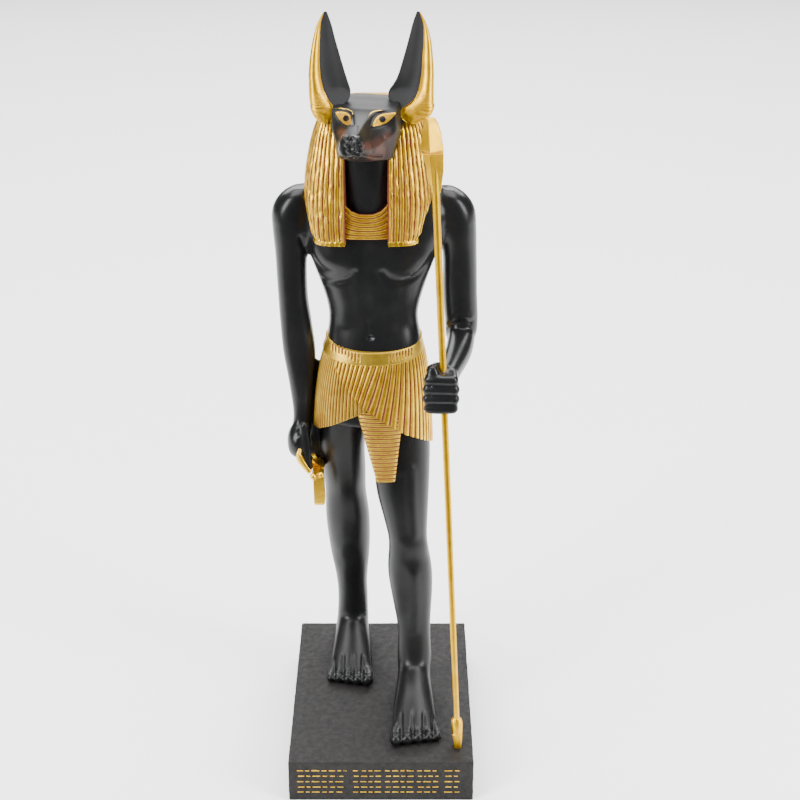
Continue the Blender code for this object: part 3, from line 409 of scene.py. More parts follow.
# The gilt band's hollow: its depth, where it is deepest, how sharply it rises, and its two sides
EAR_BAND = (0.22, 0.75, 2.2, 1.6, 0.8)
EAR_TAPER = 0.88
EAR_FOOT_TAPER = 1.4
EAR_BASE = 251.0
EAR_LEAN = 0.25
EAR_FRONT = 6.4
EAR_DEPTH = 7.5
EAR_STEPS = 10
EAR_GOLD_STEPS = 10
HATCH_TOP = 254.0
HATCH_DEPTH = 0.7
HATCH_COUNT = 46
HATCH_FADE = 4.0
HATCH_SHADE = 0.3

# The kilt, turned about its own axis; angles run from the front to the figure's left
KILT_CENTRE = (-2.7, 16.8)
KILT_DRIFT = -1.15
KILT_TOP = 150.5
KILT_TOP_RISE = 3.5
KILT_WAIST = (18.3, 12.6)
KILT_FLARE = (6.2, 5.6)
KILT_FLARE_RATE = 17.0
KILT_POWER = 2.2
WRAP_PROUD = 0.5
WRAP_REACH = 1.9
UNDER_SINK = 0.2
UNDER_FLOOR = 119.0
UNDER_DROP, OVER_DROP, FLARE_DROP, BELT_DROP = 1.0, 2.0, 2.0, 5.0
PLEAT_DEPTH = 0.55
PLEAT_STEPS = 6
PLEAT_FLATNESS = 0.42
KILT_LEVELS = 26
BELT_HEIGHT = 5.2
BELT_PROUD = 0.5
BELT_STEPS = 480
BELT_ROWS = 14
UNDER_PLEATS = 46
OVER_PLEATS = 42
HEM_TOOTH = 0.4
OVER_PLEAT_LEAN = math.radians(-13.0)
LEAN_MIDDLE = 12.0
LEAN_REACH = 32.0
WRAP_EDGE = [(-43.0, 144.7), (-22.0, 135.2), (-1.0, 126.5), (13.0, 121.8), (31.0, 116.6),
             (60.0, 111.4), (90.0, 106.8), (180.0, 106.0)]
UNDER_HEM = [(-180.0, 107.0), (-90.0, 115.2), (-62.0, 116.2), (-40.0, 119.6), (-14.0, 124.8),
             (-1.0, 127.5), (13.0, 122.8), (31.0, 117.6), (60.0, 112.4), (90.0, 107.8),
             (180.0, 107.0)]

# The belt's marks in the photograph's pixels: the line along its middle and the marked runs
BELT_MIDDLE = [(325.0, 343.4), (350.0, 355.6), (374.0, 363.4), (400.0, 355.6), (424.0, 347.0)]
BELT_MARKED = [(332.0, 359.0), (390.0, 412.0)]
BELT_MARK_PITCH = 3.3
BELT_MARK_REACH = 3.2
BELT_MARK_CUT = (0.9, 0.3)
BELT_LIP = (0.15, 0.35)

# Ribbed panels as (left x, right x, z) at the top and at the bottom
APRON_TOP = (-9.6, 9.0, 127.0)
APRON_BOTTOM = (-1.7, 5.6, 97.6)
APRON_RIBS = 18
APRON_BEND = 0.012
COLLAR_TOP = (-13.6, 3.6, 206.4)
COLLAR_BOTTOM = (-13.6, 3.4, 196.8)
COLLAR_RIBS = 6
COLLAR_BEND = 0.006
COLLAR_SAG = 5.0
RIB_DEPTH = 0.45
RIB_STEPS = 6
PANEL_DROP = 6.0

# Across a panel: share of its width and how far the edge turns back there
PANEL_ACROSS = [(0.0, 0.9), (0.02, 0.35), (0.07, 0.1), (0.18, 0.0), (0.34, 0.0), (0.5, 0.0),
                (0.66, 0.0), (0.82, 0.0), (0.93, 0.1), (0.98, 0.35), (1.0, 0.9)]

# Each panel's front at its top, and how far that moves down to its bottom; its thickness
APRON_FRONT = (0.6, -3.6)
COLLAR_FRONT = (2.0, -0.9)
APRON_THICKNESS = 9.0
COLLAR_THICKNESS = 8.0

# The looped cross in the right hand, from the top of its loop to its foot
CROSS_TOP = (-32.4, 9.0, 108.6)
CROSS_MIDDLE = (-25.2, 9.0, 97.8)
CROSS_FOOT = (-24.8, 9.0, 82.8)
CROSS_THICKNESS = 4.4
CROSS_SOFTNESS = 0.35

# Its stem as (place, way down from it, half depth, share of thickness), its bar as (place
# along it, half height), and its loop
CROSS_STEM = [(CROSS_MIDDLE, -1.5, 1.4, 1.0), (CROSS_MIDDLE, 2.0, 1.5, 1.0),
              (CROSS_FOOT, -1.2, 2.9, 1.0), (CROSS_FOOT, -0.4, 2.8, 0.9),
              (CROSS_FOOT, 0.0, 2.4, 0.62)]
CROSS_BAR = [(-6.6, 1.0), (-6.0, 1.2), (-1.4, 1.2), (1.4, 1.2), (7.0, 2.1), (7.6, 1.5)]
CROSS_BAR_SHARE = 0.95
LOOP_THICKNESS = 2.2
LOOP_WIDTH = 1.3
LOOP_RADII = (6.4, 4.0)
LOOP_DROP = 5.6
LOOP_BACK = 3.0
LOOP_STEPS = 32
CROSS_KNOBS = [(-26.9, 2.2, 98.0), (-23.8, 2.2, 98.7)]
KNOB_RADIUS = 1.4
CROSS_STRAP = [
    (-31.8, 5.6, 108.6, 0.6, 1.0),
    (-32.4, 4.9, 106.3, 1.1, 1.4),
    (-31.8, 4.6, 104.0, 1.05, 1.4),
    (-30.1, 4.5, 101.1, 0.8, 1.2),
    (-28.2, 4.3, 98.6, 0.7, 1.0),
]

# The sceptre: its foot, the grip around it, and the radii and heights of its parts
SCEPTRE_FOOT = (30.4, -40.7)
GRIP_CENTRE = (23.7, -23.1, 146.5)
SCEPTRE_HEIGHT = 246.4
SHAFT_RADII = (1.15, 1.45)
FORK_SIZE = (4.6, 4.8, 12.0)
FORK_NOTCH = (2.2, 5.5)
CREST_HEIGHT = 27.0
CREST_SEAT = 0.35
SHAFT_STEPS = 24
SHAFT_START = 1.02
SCEPTRE_SOFTNESS = 0.25

# Up the foot's prongs and the blade above them: height, then shares of width and depth
PRONG_RINGS = [(0.0, 0.56, 0.8), (0.8, 0.64, 1.0), (FORK_NOTCH[1] + 0.6, 0.9, 1.0)]
BLADE_RINGS = [(FORK_NOTCH[1], 0.88, 0.96), (FORK_SIZE[2] * 0.78, 1.0, 0.9),
               (FORK_SIZE[2] * 0.93, 0.97, 0.7), (FORK_SIZE[2], 0.8, 0.5)]

# Up the crest: share of its height, then from its axis: left side, front ridge across, front
# ridge ahead, right side, back
CREST_RINGS = [
    (0.02, -1.4, -0.9, -1.3, 1.7, 1.4),
    (0.30, -2.9, -1.3, -1.8, 3.0, 2.0),
    (0.54, -4.2, -1.5, -2.4, 3.3, 2.5),
    (0.60, -4.8, -1.6, -5.6, 3.3, 2.8),
    (0.80, -4.2, -1.6, -4.4, 2.7, 2.7),
    (0.93, -3.4, -1.6, -2.8, 1.7, 2.2),
    (1.00, -2.6, -1.6, -1.2, 0.6, 1.2),
]

# The rows of strokes on the plinth's front, in millimetres: each group's ends, each row's
# height, and the strokes' length, gap and width
STROKE_GROUPS = [(-33.0, -21.2), (-20.4, -13.4), (-11.0, 0.0), (1.6, 12.8), (14.2, 22.6),
                 (25.0, 32.0)]
STROKE_ROWS = [14.0, 11.4, 8.8, 6.2, 3.8]
STROKE_LENGTHS = (2.4, 1.5, 3.1, 1.9)
STROKE_GAP = 0.9
STROKE_STAGGER = 0.4
STROKE_HEIGHT = 0.55
STROKE_SHAPE = [(0.0, 0.45), (0.12, 1.0), (0.88, 1.0), (1.0, 0.45)]

# Round a stroke: how far behind the plinth's front, and share of half its height
STROKE_SECTION = [(0.05, -0.6), (0.05, 0.6), (0.22, 1.0), (0.5, 1.0), (0.5, -1.0), (0.22, -1.0)]


def spline(p0, p1, p2, p3, t):
    """A Catmull-Rom curve's value at t from p1 to p2."""
    return 0.5 * (2 * p1 + (p2 - p0) * t + (2 * p0 - 5 * p1 + 4 * p2 - p3) * t * t
                  + (3 * p1 - p0 - 3 * p2 + p3) * t ** 3)


def smooth_stations(stations, steps):
    """Stations with steps from each one to the next, on a smooth curve."""
    result = []
    last = len(stations) - 1
    for index in range(last):
        near = [stations[min(max(index + offset, 0), last)] for offset in (-1, 0, 1, 2)]
        for step in range(steps):
            result.append(tuple(spline(*parts, step / steps) for parts in zip(*near)))
    result.append(tuple(stations[-1]))
    return result


def line_value(points, at):
    """The value at a place on the straight runs through points of (place, value)."""
    return float(np.interp(at, [p[0] for p in points], [p[1] for p in points]))


def oval(angle, half_width, half_depth, power):
    """A point of a superellipse, with angle zero ahead at -Y and growing towards +X."""
    across = math.sin(angle)
    ahead = math.cos(angle)
    return (math.copysign(abs(across) ** (2 / power), across) * half_width,
            -math.copysign(abs(ahead) ** (2 / power), ahead) * half_depth)


def level_rings(stations, sides=28, power=2.2, turn=0.0, steps=5):
    """Level rings through stations of an upright limb, turned about their centres."""
    rings = []
    for x, y, z, half_width, half_depth in smooth_stations(stations, steps):
        ring = []
        for side in range(sides):
            across, along = oval(math.tau * side / sides, half_width, half_depth, power)
            ring.append(Vector((x + across * math.cos(turn) + along * math.sin(turn),
                                y - across * math.sin(turn) + along * math.cos(turn), z)))
        rings.append(ring)
    return rings


def path_rings(stations, sides=24, power=2.2, steps=5):
    """Rings across a path: half widths lie level, half heights stand across both."""
    path = smooth_stations(stations, steps)
    rings = []
    for index, (x, y, z, half_width, half_height) in enumerate(path):
        ahead = Vector(path[min(index + 1, len(path) - 1)][:3])
        behind = Vector(path[max(index - 1, 0)][:3])
        along = (ahead - behind).normalized()
        level = along.cross(Vector((0, 0, 1))).normalized()
        upward = level.cross(along)
        ring = []
        for side in range(sides):
            a, b = oval(math.tau * side / sides, half_width, half_height, power)
            ring.append(Vector((x, y, z)) + level * a - upward * b)
        rings.append(ring)
    return rings


def blob_rings(centre, half_sizes, sides=20, levels=12):
    """An ellipsoid as level rings, for a muscle, a knuckle or a toe."""
    stations = []
    for level in range(levels + 1):
        tilt = math.pi * (level + BLOB_POLE) / (levels + 2 * BLOB_POLE)
        stations.append((centre[0], centre[1], centre[2] - half_sizes[2] * math.cos(tilt),
                         half_sizes[0] * math.sin(tilt), half_sizes[1] * math.sin(tilt)))
    return level_rings(stations, sides, 2.0, steps=1)


def bar_rings(start, end, radius, sides=16):
    """A round-ended bar from start to end, for a finger or a thumb."""
    start = Vector(start)
    end = Vector(end)
    along = (end - start).normalized()
    stations = []
    for centre, way, shares in ((start, -1, BAR_END[::-1]), (end, 1, BAR_END)):
        for share in shares:
            size = radius * math.sqrt(1.0 - share * share * BAR_ROUNDNESS)
            stations.append((*(centre + along * radius * share * way), size, size))
    return path_rings(stations, sides, 2.0, steps=1)


def add_loft(mesh, rings, caps=(None, None), shades=None, closed=False):
    """Add a closed body through rings, with a groove shade per point where one is given."""
    layer = mesh.verts.layers.float["groove"] if shades else None
    rows = []
    for index, ring in enumerate(rings):
        row = [mesh.verts.new(point) for point in ring]
        if shades:
            for vert, shade in zip(row, shades[index]):
                vert[layer] = shade
        rows.append(row)
    count = len(rows[0])
    faces = []
    following = rows[1:] + rows[:1] if closed else rows[1:]
    for lower, upper in zip(rows, following):
        for side in range(count):
            after = (side + 1) % count
            faces.append(mesh.faces.new((lower[side], lower[after], upper[after], upper[side])))
    if not closed:
        for row, peak in zip((rows[0], rows[-1]), caps):
            if peak is None:
                faces.append(mesh.faces.new(row))
            else:
                tip = mesh.verts.new(peak)
                for side in range(count):
                    faces.append(mesh.faces.new((row[side], row[(side + 1) % count], tip)))
    bmesh.ops.recalc_face_normals(mesh, faces=faces)


def to_world(point):
    """A place in figure units as a place in metres."""
    return Vector((point[0] * UNIT, point[1] * UNIT, point[2] * UNIT + SOLES))


def new_mesh():
    """An empty mesh with the groove shade that the gold paint reads."""
    mesh = bmesh.new()
    mesh.verts.layers.float.new("groove")
    return mesh


def keep_piece(piece, material, sharp):
    """Finish a piece: its material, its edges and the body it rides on."""
    piece.data.materials.clear()
    piece.data.materials.append(material)
    piece.data.shade_smooth()
    piece.data.set_sharp_from_angle(angle=math.radians(sharp))
    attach(piece, "root")
    return piece


def new_object(name, data):
    """A new object of the scene that holds some data."""
    item = bpy.data.objects.new(name, data)
    bpy.context.scene.collection.objects.link(item)
    return item


def world_piece(name, mesh):
    """An object from a bmesh that is already in metres."""
    data = bpy.data.meshes.new(name)
    mesh.to_mesh(data)
    mesh.free()
    return new_object(name, data)


def piece_from(name, mesh):
    """An object from a bmesh in figure units."""
    for vert in mesh.verts:
        vert.co = to_world(vert.co)
    return world_piece(name, mesh)


def soften_edges(piece, width):
    """Round a piece's sharp edges with a bevel of a width in figure units."""
    soft = piece.modifiers.new("soft edges", "BEVEL")
    soft.width = width * UNIT
    soft.segments = 2
    return soft


def grown_piece(name, lofts, grain):
    """One skin grown over many closed lofts, like clay pressed together."""
    mesh = bmesh.new()
    for rings in lofts:
        add_loft(mesh, rings)
    rough = piece_from(name + "_rough", mesh)
    grow = rough.modifiers.new("grow together", "REMESH")
    grow.mode = "VOXEL"
    grow.voxel_size = grain * UNIT
    grown = rough.evaluated_get(bpy.context.evaluated_depsgraph_get())
    data = bpy.data.meshes.new_from_object(grown)
    data.name = name
    bpy.data.objects.remove(rough, do_unlink=True)
    return new_object(name, data)


def read_points(data):
    """A mesh's points in figure units, as an array."""
    points = np.empty(len(data.vertices) * 3)
    data.vertices.foreach_get("co", points)
    points = points.reshape(-1, 3)
    points[:, 2] -= SOLES
    return points / UNIT


def write_points(data, points):
    """Put an array of points in figure units back into a mesh."""
    world = points * UNIT
    world[:, 2] += SOLES
    data.vertices.foreach_set("co", world.ravel())
    data.update()


def read_normals(data):
    """A mesh's normals, as an array."""
    normals = np.empty(len(data.vertices) * 3)
    data.vertex_normals.foreach_get("vector", normals)
    return normals.reshape(-1, 3)


def read_edges(data):
    """A mesh's edges as an array of pairs of points."""
    edges = np.empty(len(data.edges) * 2, dtype=np.int64)
    data.edges.foreach_get("vertices", edges)
    return edges.reshape(-1, 2)


def soften(data, passes, weight=None):
    """Relax a mesh, as wet fingers do to clay; the weight per point is from 0 to 1."""
    points = read_points(data)
    edges = read_edges(data)
    first = edges[:, 0]
    second = edges[:, 1]
    size = len(points)
    count = np.bincount(edges.ravel(), minlength=size)
    strength = 0.5 if weight is None else 0.5 * weight[:, None]
    for _ in range(passes):
        total = np.stack([np.bincount(first, points[second, axis], size)
                          + np.bincount(second, points[first, axis], size)
                          for axis in range(3)], axis=1)
        points = points + strength * (total / count[:, None] - points)
    write_points(data, points)


# What the photograph sees

PHOTO_SIZE = 800
SENSOR = 36.0
FOCAL = CAMERA_LENS / SENSOR * PHOTO_SIZE
EYE_POINT = np.array(CAMERA_PLACE)
LOOK_AHEAD = np.array((0.0, math.sin(CAMERA_TILT), -math.cos(CAMERA_TILT)))
LOOK_UP = np.array((0.0, math.cos(CAMERA_TILT), math.sin(CAMERA_TILT)))
SEEN_GAIN = 3.0

# Painted marks on the face: how deep they reach into it, the shade of bare ground at shares of
# the way to an eye's edge, how thin that edge is, and a brush stroke's width at its ends
PAINT_REACH = 0.3
PATCH_SHADES = {0.25: 0.22, 0.5: 0.25, 0.75: 0.2, 0.9: 0.0, 1.0: 0.3}
PATCH_EDGE = 0.25
BRUSH_END = 0.35
BRUSH_STEPS = 6


def photo_pixels(points):
    """Where the photograph sees an array of points in figure units, in its pixels."""
    offset = points * UNIT + np.array((0.0, 0.0, SOLES)) - EYE_POINT
    depth = offset @ LOOK_AHEAD
    return np.stack([PHOTO_SIZE / 2 + FOCAL * offset[:, 0] / depth,
                     PHOTO_SIZE / 2 - FOCAL * (offset @ LOOK_UP) / depth], axis=1)


def route_gap(pixels, route):
    """How far each pixel lies from a route."""
    nearest = np.full(len(pixels), np.inf)
    for start, end in zip(route, route[1:]):
        start = np.array(start, dtype=float)
        along = np.array(end) - start
        share = np.clip(((pixels - start) @ along) / (along @ along), 0.0, 1.0)
        nearest = np.minimum(nearest,
                             np.linalg.norm(pixels - start - share[:, None] * along, axis=1))
    return nearest


def carve_seen(data, strokes, bare=False):
    """Cut grooves along strokes drawn on the photograph: (route, half width, depth).

    Routes and half widths are in pixels, and depths in figure units; a negative depth is
    a ridge. Where bare is set, the grooves also show the ground under the gold.
    """
    points = read_points(data)
    normals = read_normals(data)
    pixels = photo_pixels(points)
    towards = EYE_POINT - (points * UNIT + np.array((0.0, 0.0, SOLES)))
    towards /= np.linalg.norm(towards, axis=1)[:, None]
    facing = np.clip(np.sum(normals * towards, axis=1) * SEEN_GAIN, 0.0, 1.0)
    shift = np.zeros(len(points))
    shown = np.zeros(len(points))
    for route, half_width, depth in strokes:
        fall = np.clip(1.0 - (route_gap(pixels, route) / half_width) ** 2, 0.0, 1.0) ** 2
        shift += depth * fall
        shown = np.maximum(shown, fall * facing)
    write_points(data, points - normals * (shift * facing)[:, None])
    if bare:
        layer = data.attributes["groove"]
        before = np.empty(len(points), dtype=np.float32)
        layer.data.foreach_get("value", before)
        layer.data.foreach_set("value", np.maximum(before, shown).astype(np.float32))


def surface_tree(piece):
    """A piece's surface, for finding where the photograph's pixels fall on it."""
    mesh = bmesh.new()
    mesh.from_mesh(piece.data)
    tree = BVHTree.FromBMesh(mesh)
    mesh.free()
    return tree


def seen_place(tree, pixel):
    """The point and normal of a surface that a pixel sees, in metres."""
    ray = (LOOK_AHEAD + LOOK_UP * (PHOTO_SIZE / 2 - pixel[1]) / FOCAL
           + np.array((1.0, 0.0, 0.0)) * (pixel[0] - PHOTO_SIZE / 2) / FOCAL)
    place, normal, _, _ = tree.ray_cast(Vector(CAMERA_PLACE), Vector(ray).normalized())
    return place, normal


def round_outline(corners, steps):
    """A closed outline rounded through its corners."""
    count = len(corners)
    result = []
    for index in range(count):
        near = [np.array(corners[(index + offset) % count], dtype=float)
                for offset in (-1, 0, 1, 2)]
        result += [spline(*near, step / steps) for step in range(steps)]
    return result


def paint_patch(mesh, tree, outline, lift):
    """A thin closed layer of paint over a surface, inside an outline in pixels."""
    centre = sum(outline) / len(outline)
    layer = mesh.verts.layers.float["groove"]
    middle, normal = seen_place(tree, centre)
    tops = [[mesh.verts.new(middle + normal * lift * UNIT)]]
    bottoms = [[mesh.verts.new(middle - normal * PAINT_REACH * UNIT)]]
    for share, shade in PATCH_SHADES.items():
        top = []
        bottom = []
        for point in outline:
            place, normal = seen_place(tree, centre + (point - centre) * share)
            edge = PATCH_EDGE if share == 1.0 else 1.0
            vert = mesh.verts.new(place + normal * lift * edge * UNIT)
            vert[layer] = shade
            top.append(vert)
            bottom.append(mesh.verts.new(place - normal * PAINT_REACH * UNIT))
        tops.append(top)
        bottoms.append(bottom)
    count = len(outline)
    for layers in (tops, bottoms):
        for side in range(count):
            after = (side + 1) % count
            mesh.faces.new((layers[0][0], layers[1][side], layers[1][after]))
            for inner, outer in zip(layers[1:], layers[2:]):
                mesh.faces.new((inner[side], outer[side], outer[after], inner[after]))
    for side in range(count):
        after = (side + 1) % count
        mesh.faces.new((tops[-1][side], bottoms[-1][side], bottoms[-1][after], tops[-1][after]))
    bmesh.ops.recalc_face_normals(mesh, faces=mesh.faces)


def paint_stroke(mesh, tree, route, half_width, lift):
    """A thin closed brush stroke over a surface, along a route in pixels, thin at its ends."""
    line = [np.array(point) for point in smooth_stations(route, BRUSH_STEPS)]
    rings = []
    for index, middle in enumerate(line):
        along = line[min(index + 1, len(line) - 1)] - line[max(index - 1, 0)]
        across = np.array((-along[1], along[0])) / np.linalg.norm(along)
        swelling = math.sin(math.pi * index / (len(line) - 1)) ** 0.5
        width = half_width * (BRUSH_END + (1.0 - BRUSH_END) * swelling)
        ring = []
        for aside, height in ((1, 0.1), (0, 1.0), (-1, 0.1)):
            place, normal = seen_place(tree, middle + across * width * aside)
            ring.append(place + normal * lift * height * UNIT)
        for aside in (-1, 1):
            place, normal = seen_place(tree, middle + across * width * aside)
            ring.append(place - normal * PAINT_REACH * UNIT)
        rings.append(ring)
    add_loft(mesh, rings)


# Materials

def node_material(name):
    """A new material and its nodes, links and shader."""
    material = bpy.data.materials.new(name)
    material.use_nodes = True
    nodes = material.node_tree.nodes
    return material, nodes, material.node_tree.links, nodes["Principled BSDF"]


def noise_node(nodes, links, scale, detail=4.0, roughness=0.6):
    """A noise over the object's own coordinates, in features per metre."""
    coordinates = nodes.new("ShaderNodeTexCoord")
    texture = nodes.new("ShaderNodeTexNoise")
    texture.inputs["Scale"].default_value = scale
    texture.inputs["Detail"].default_value = detail
    texture.inputs["Roughness"].default_value = roughness
    links.new(coordinates.outputs["Object"], texture.inputs["Vector"])
    return texture


def ramp_node(nodes, links, source, stops):
    """A colour ramp of (place, colour) stops driven by a value."""
    ramp = nodes.new("ShaderNodeValToRGB")
    elements = ramp.color_ramp.elements
    elements[0].position, elements[1].position = stops[0][0], stops[-1][0]
    elements[0].color = (*stops[0][1], 1.0)
    elements[1].color = (*stops[-1][1], 1.0)
    for place, colour in stops[1:-1]:
        elements.new(place).color = (*colour, 1.0)
    links.new(source, ramp.inputs["Fac"])
    return ramp


def range_node(nodes, links, source, low, high, to_low, to_high):
    """A value mapped from one range to another."""
    spread = nodes.new("ShaderNodeMapRange")
    for name, value in (("From Min", low), ("From Max", high), ("To Min", to_low),
                        ("To Max", to_high)):
        spread.inputs[name].default_value = value
    links.new(source, spread.inputs["Value"])
    return spread


def bump_node(nodes, links, source, shader, distance, strength=1.0):
    """Fine relief from a value, with its height in metres."""
    bump = nodes.new("ShaderNodeBump")
    bump.inputs["Distance"].default_value = distance
    bump.inputs["Strength"].default_value = strength
    links.new(source, bump.inputs["Height"])
    links.new(bump.outputs["Normal"], shader.inputs["Normal"])
    return bump


def mix_node(nodes, links, share, first, second):
    """Two colours mixed by a share; each is a colour or the output of a node."""
    mix = nodes.new("ShaderNodeMix")
    mix.data_type = "RGBA"
    links.new(share, mix.inputs["Factor"])
    for socket, value in (("A", first), ("B", second)):
        if isinstance(value, tuple):
            mix.inputs[socket].default_value = (*value, 1.0)
        else:
            links.new(value, mix.inputs[socket])
    return mix.outputs["Result"]


# Paints: two blacks that mottle each other, the brown that the black turns to around given spots, and
# each black paint's roughness and how much lighter it is
BLACK_DEEP = (0.0032, 0.0034, 0.0036)
BLACK_WORN = (0.0062, 0.0062, 0.0066)
SPOT_BROWN = (0.075, 0.026, 0.017)
BLACKS = {
    "black_paint": (0.28, 1.3),
    "leg_black_paint": (0.34, 1.1),
    "satin_black_paint": (0.46, 0.8),
    "matte_black_paint": (0.6, 2.6),
}
BLACK_SPECULAR = 0.24
GLOSS_SPREAD = 0.036

# Each gold: where it is bright, where it is thin, the ground in its grooves, and roughness
GOLDS = {
    # The sceptre's gold also gilds the ears' rims; there its darker tone is painted shade that tones
    # down the strong light they catch from above and behind
    "sceptre_gold_and_ear_shade": ((0.8, 0.46, 0.012), (0.6, 0.33, 0.008), (0.14, 0.03, 0.009), 0.4),
    "eye_gold": ((0.6, 0.36, 0.012), (0.45, 0.25, 0.008), (0.12, 0.03, 0.01), 0.5),
    "bright_gold": ((0.95, 0.59, 0.035), (0.6, 0.32, 0.012), (0.12, 0.028, 0.009), 0.36),
    "dull_gold": ((0.66, 0.43, 0.05), (0.44, 0.26, 0.022), (0.15, 0.04, 0.013), 0.42),
}
GOLD_SPECULAR = 0.2
GOLD_METAL = 0.96
GROUND_ROUGHNESS = 0.6
GROUND_WEAR = 0.5
GROUND_FROM, GROUND_TO = 0.36, 0.66
PLINTH_PAINTS = ((0.007, 0.0066, 0.007), (0.016, 0.0145, 0.0135))
PLINTH_SPECULAR = 0.2
FLOOR_PAINTS = ((0.93, 0.93, 0.93), (0.95, 0.95, 0.95))
FLOOR_ROUGHNESS = 0.9

# Noises as (features per metre, detail, roughness)
BLACK_CLOUD = (60.0, 5.0)
BLACK_GLOSS = (240.0, 6.0, 0.7)
BLACK_GRAIN = (900.0, 3.0, 0.6)
GOLD_CLOUD = (180.0, 6.0, 0.65)
GOLD_RAGGED = (1500.0, 4.0, 0.7)
GOLD_GRAIN = (1100.0, 4.0, 0.7)
PLINTH_CLOUD = (400.0, 8.0, 0.7)
PLINTH_GRAIN = (1400.0, 5.0, 0.75)
FLOOR_CLOUD = (3.0, 2.0)

# Where on a noise its colours or roughness start and end, and bumps as (metres, strength)
BLACK_STOPS = (0.3, 0.75)
GLOSS_STOPS = (0.3, 0.8)
GOLD_STOPS = (0.32, 0.62)
PLINTH_STOPS = (0.35, 0.7)
PLINTH_DULL = (0.3, 0.7, 0.7, 0.5)
BLACK_BUMP = (0.00001, 0.3)
GOLD_BUMP = (0.0001, 0.6)
PLINTH_BUMP = (0.0003, 0.8)


def attribute_node(nodes, name):
    """The value that a mesh holds under a name."""
    attribute = nodes.new("ShaderNodeAttribute")
    attribute.attribute_name = name
    return attribute.outputs["Fac"]


def black_material(name):
    """Near-black paint over cast resin, faintly mottled, browner around given spots."""
    roughness, lift = BLACKS[name]
    material, nodes, links, shader = node_material(name)
    shader.inputs["Specular IOR Level"].default_value = BLACK_SPECULAR
    cloud = noise_node(nodes, links, *BLACK_CLOUD)
    blacks = [tuple(part * lift for part in paint) for paint in (BLACK_DEEP, BLACK_WORN)]
    colour = ramp_node(nodes, links, cloud.outputs["Fac"], list(zip(BLACK_STOPS, blacks)))
    browned = mix_node(nodes, links, attribute_node(nodes, "brown_share"), colour.outputs["Color"],
                      SPOT_BROWN)
    links.new(browned, shader.inputs["Base Color"])
    gloss = noise_node(nodes, links, *BLACK_GLOSS)
    uneven = range_node(nodes, links, gloss.outputs["Fac"], *GLOSS_STOPS, roughness,
                        roughness + GLOSS_SPREAD)
    links.new(uneven.outputs["Result"], shader.inputs["Roughness"])
    grain = noise_node(nodes, links, *BLACK_GRAIN)
    bump_node(nodes, links, grain.outputs["Fac"], shader, *BLACK_BUMP)
    return material


def gold_material(name):
    """Gold paint brushed over a red-brown ground, which stays in the grooves."""
    bright, shadow, groove, roughness = GOLDS[name]
    material, nodes, links, shader = node_material(name)
    shader.inputs["Specular IOR Level"].default_value = GOLD_SPECULAR
    cloud = noise_node(nodes, links, *GOLD_CLOUD)
    gold = ramp_node(nodes, links, cloud.outputs["Fac"], list(zip(GOLD_STOPS, (shadow, bright))))
    ragged = noise_node(nodes, links, *GOLD_RAGGED)
    edge = nodes.new("ShaderNodeMath")
    edge.operation = "MULTIPLY_ADD"
    links.new(ragged.outputs["Fac"], edge.inputs[0])
    edge.inputs[1].default_value = GROUND_WEAR
    links.new(attribute_node(nodes, "groove"), edge.inputs[2])
    share = range_node(nodes, links, edge.outputs["Value"], GROUND_FROM, GROUND_TO, 0.0, 1.0)
    colour = mix_node(nodes, links, share.outputs["Result"], gold.outputs["Color"], groove)
    links.new(colour, shader.inputs["Base Color"])
    for socket, on_gold, on_ground in (("Metallic", GOLD_METAL, 0.0),
                                       ("Roughness", roughness, GROUND_ROUGHNESS)):
        value = range_node(nodes, links, share.outputs["Result"], 0.0, 1.0, on_gold, on_ground)
        links.new(value.outputs["Result"], shader.inputs[socket])
    grain = noise_node(nodes, links, *GOLD_GRAIN)
    bump_node(nodes, links, grain.outputs["Fac"], shader, *GOLD_BUMP)
    return material


def plinth_material():
    """Matte black-brown paint over a rough cast surface."""
    material, nodes, links, shader = node_material("rough_plinth_paint")
    cloud = noise_node(nodes, links, *PLINTH_CLOUD)
    colour = ramp_node(nodes, links, cloud.outputs["Fac"], list(zip(PLINTH_STOPS, PLINTH_PAINTS)))
    links.new(colour.outputs["Color"], shader.inputs["Base Color"])
    shader.inputs["Specular IOR Level"].default_value = PLINTH_SPECULAR
    dull = range_node(nodes, links, cloud.outputs["Fac"], *PLINTH_DULL)
    links.new(dull.outputs["Result"], shader.inputs["Roughness"])
    grain = noise_node(nodes, links, *PLINTH_GRAIN)
    bump_node(nodes, links, grain.outputs["Fac"], shader, *PLINTH_BUMP)
    return material


def floor_material():
    """Plain pale studio floor."""
    material, nodes, links, shader = node_material("pale_floor")
    cloud = noise_node(nodes, links, *FLOOR_CLOUD)
    colour = ramp_node(nodes, links, cloud.outputs["Fac"], list(zip((0.0, 1.0), FLOOR_PAINTS)))
    links.new(colour.outputs["Color"], shader.inputs["Base Color"])
    shader.inputs["Roughness"].default_value = FLOOR_ROUGHNESS
    return material


# The black body

def head_point(across, ahead, height):
    """Figure place of a point given across, ahead of the head's pivot, and by height."""
    return Vector((HEAD_PIVOT[0] + across * math.cos(HEAD_TURN) - ahead * math.sin(HEAD_TURN),
                   HEAD_PIVOT[1] - across * math.sin(HEAD_TURN) - ahead * math.cos(HEAD_TURN),
                   height))


def head_rings(steps=5, splits=4):
    """The skull and muzzle: rings across the way the head looks, through their corners."""
    flat = [(ahead, top, *a, *b, *c, *d, under) for ahead, top, a, b, c, d, under in HEAD]
    rings = []
    for ahead, top, *corners, under in smooth_stations(flat, steps):
        side = [(0.0, top)] + list(zip(corners[0::2], corners[1::2])) + [(0.0, under)]
        half = []
        for (a0, z0), (a1, z1) in zip(side, side[1:]):
            for split in range(splits):
                t = split / splits
                half.append((a0 + (a1 - a0) * t, z0 + (z1 - z0) * t))
        half.append(side[-1])
        ring = [head_point(a, ahead, z) for a, z in half]
        ring += [head_point(-a, ahead, z) for a, z in half[-2:0:-1]]
        rings.append(ring)
    return rings


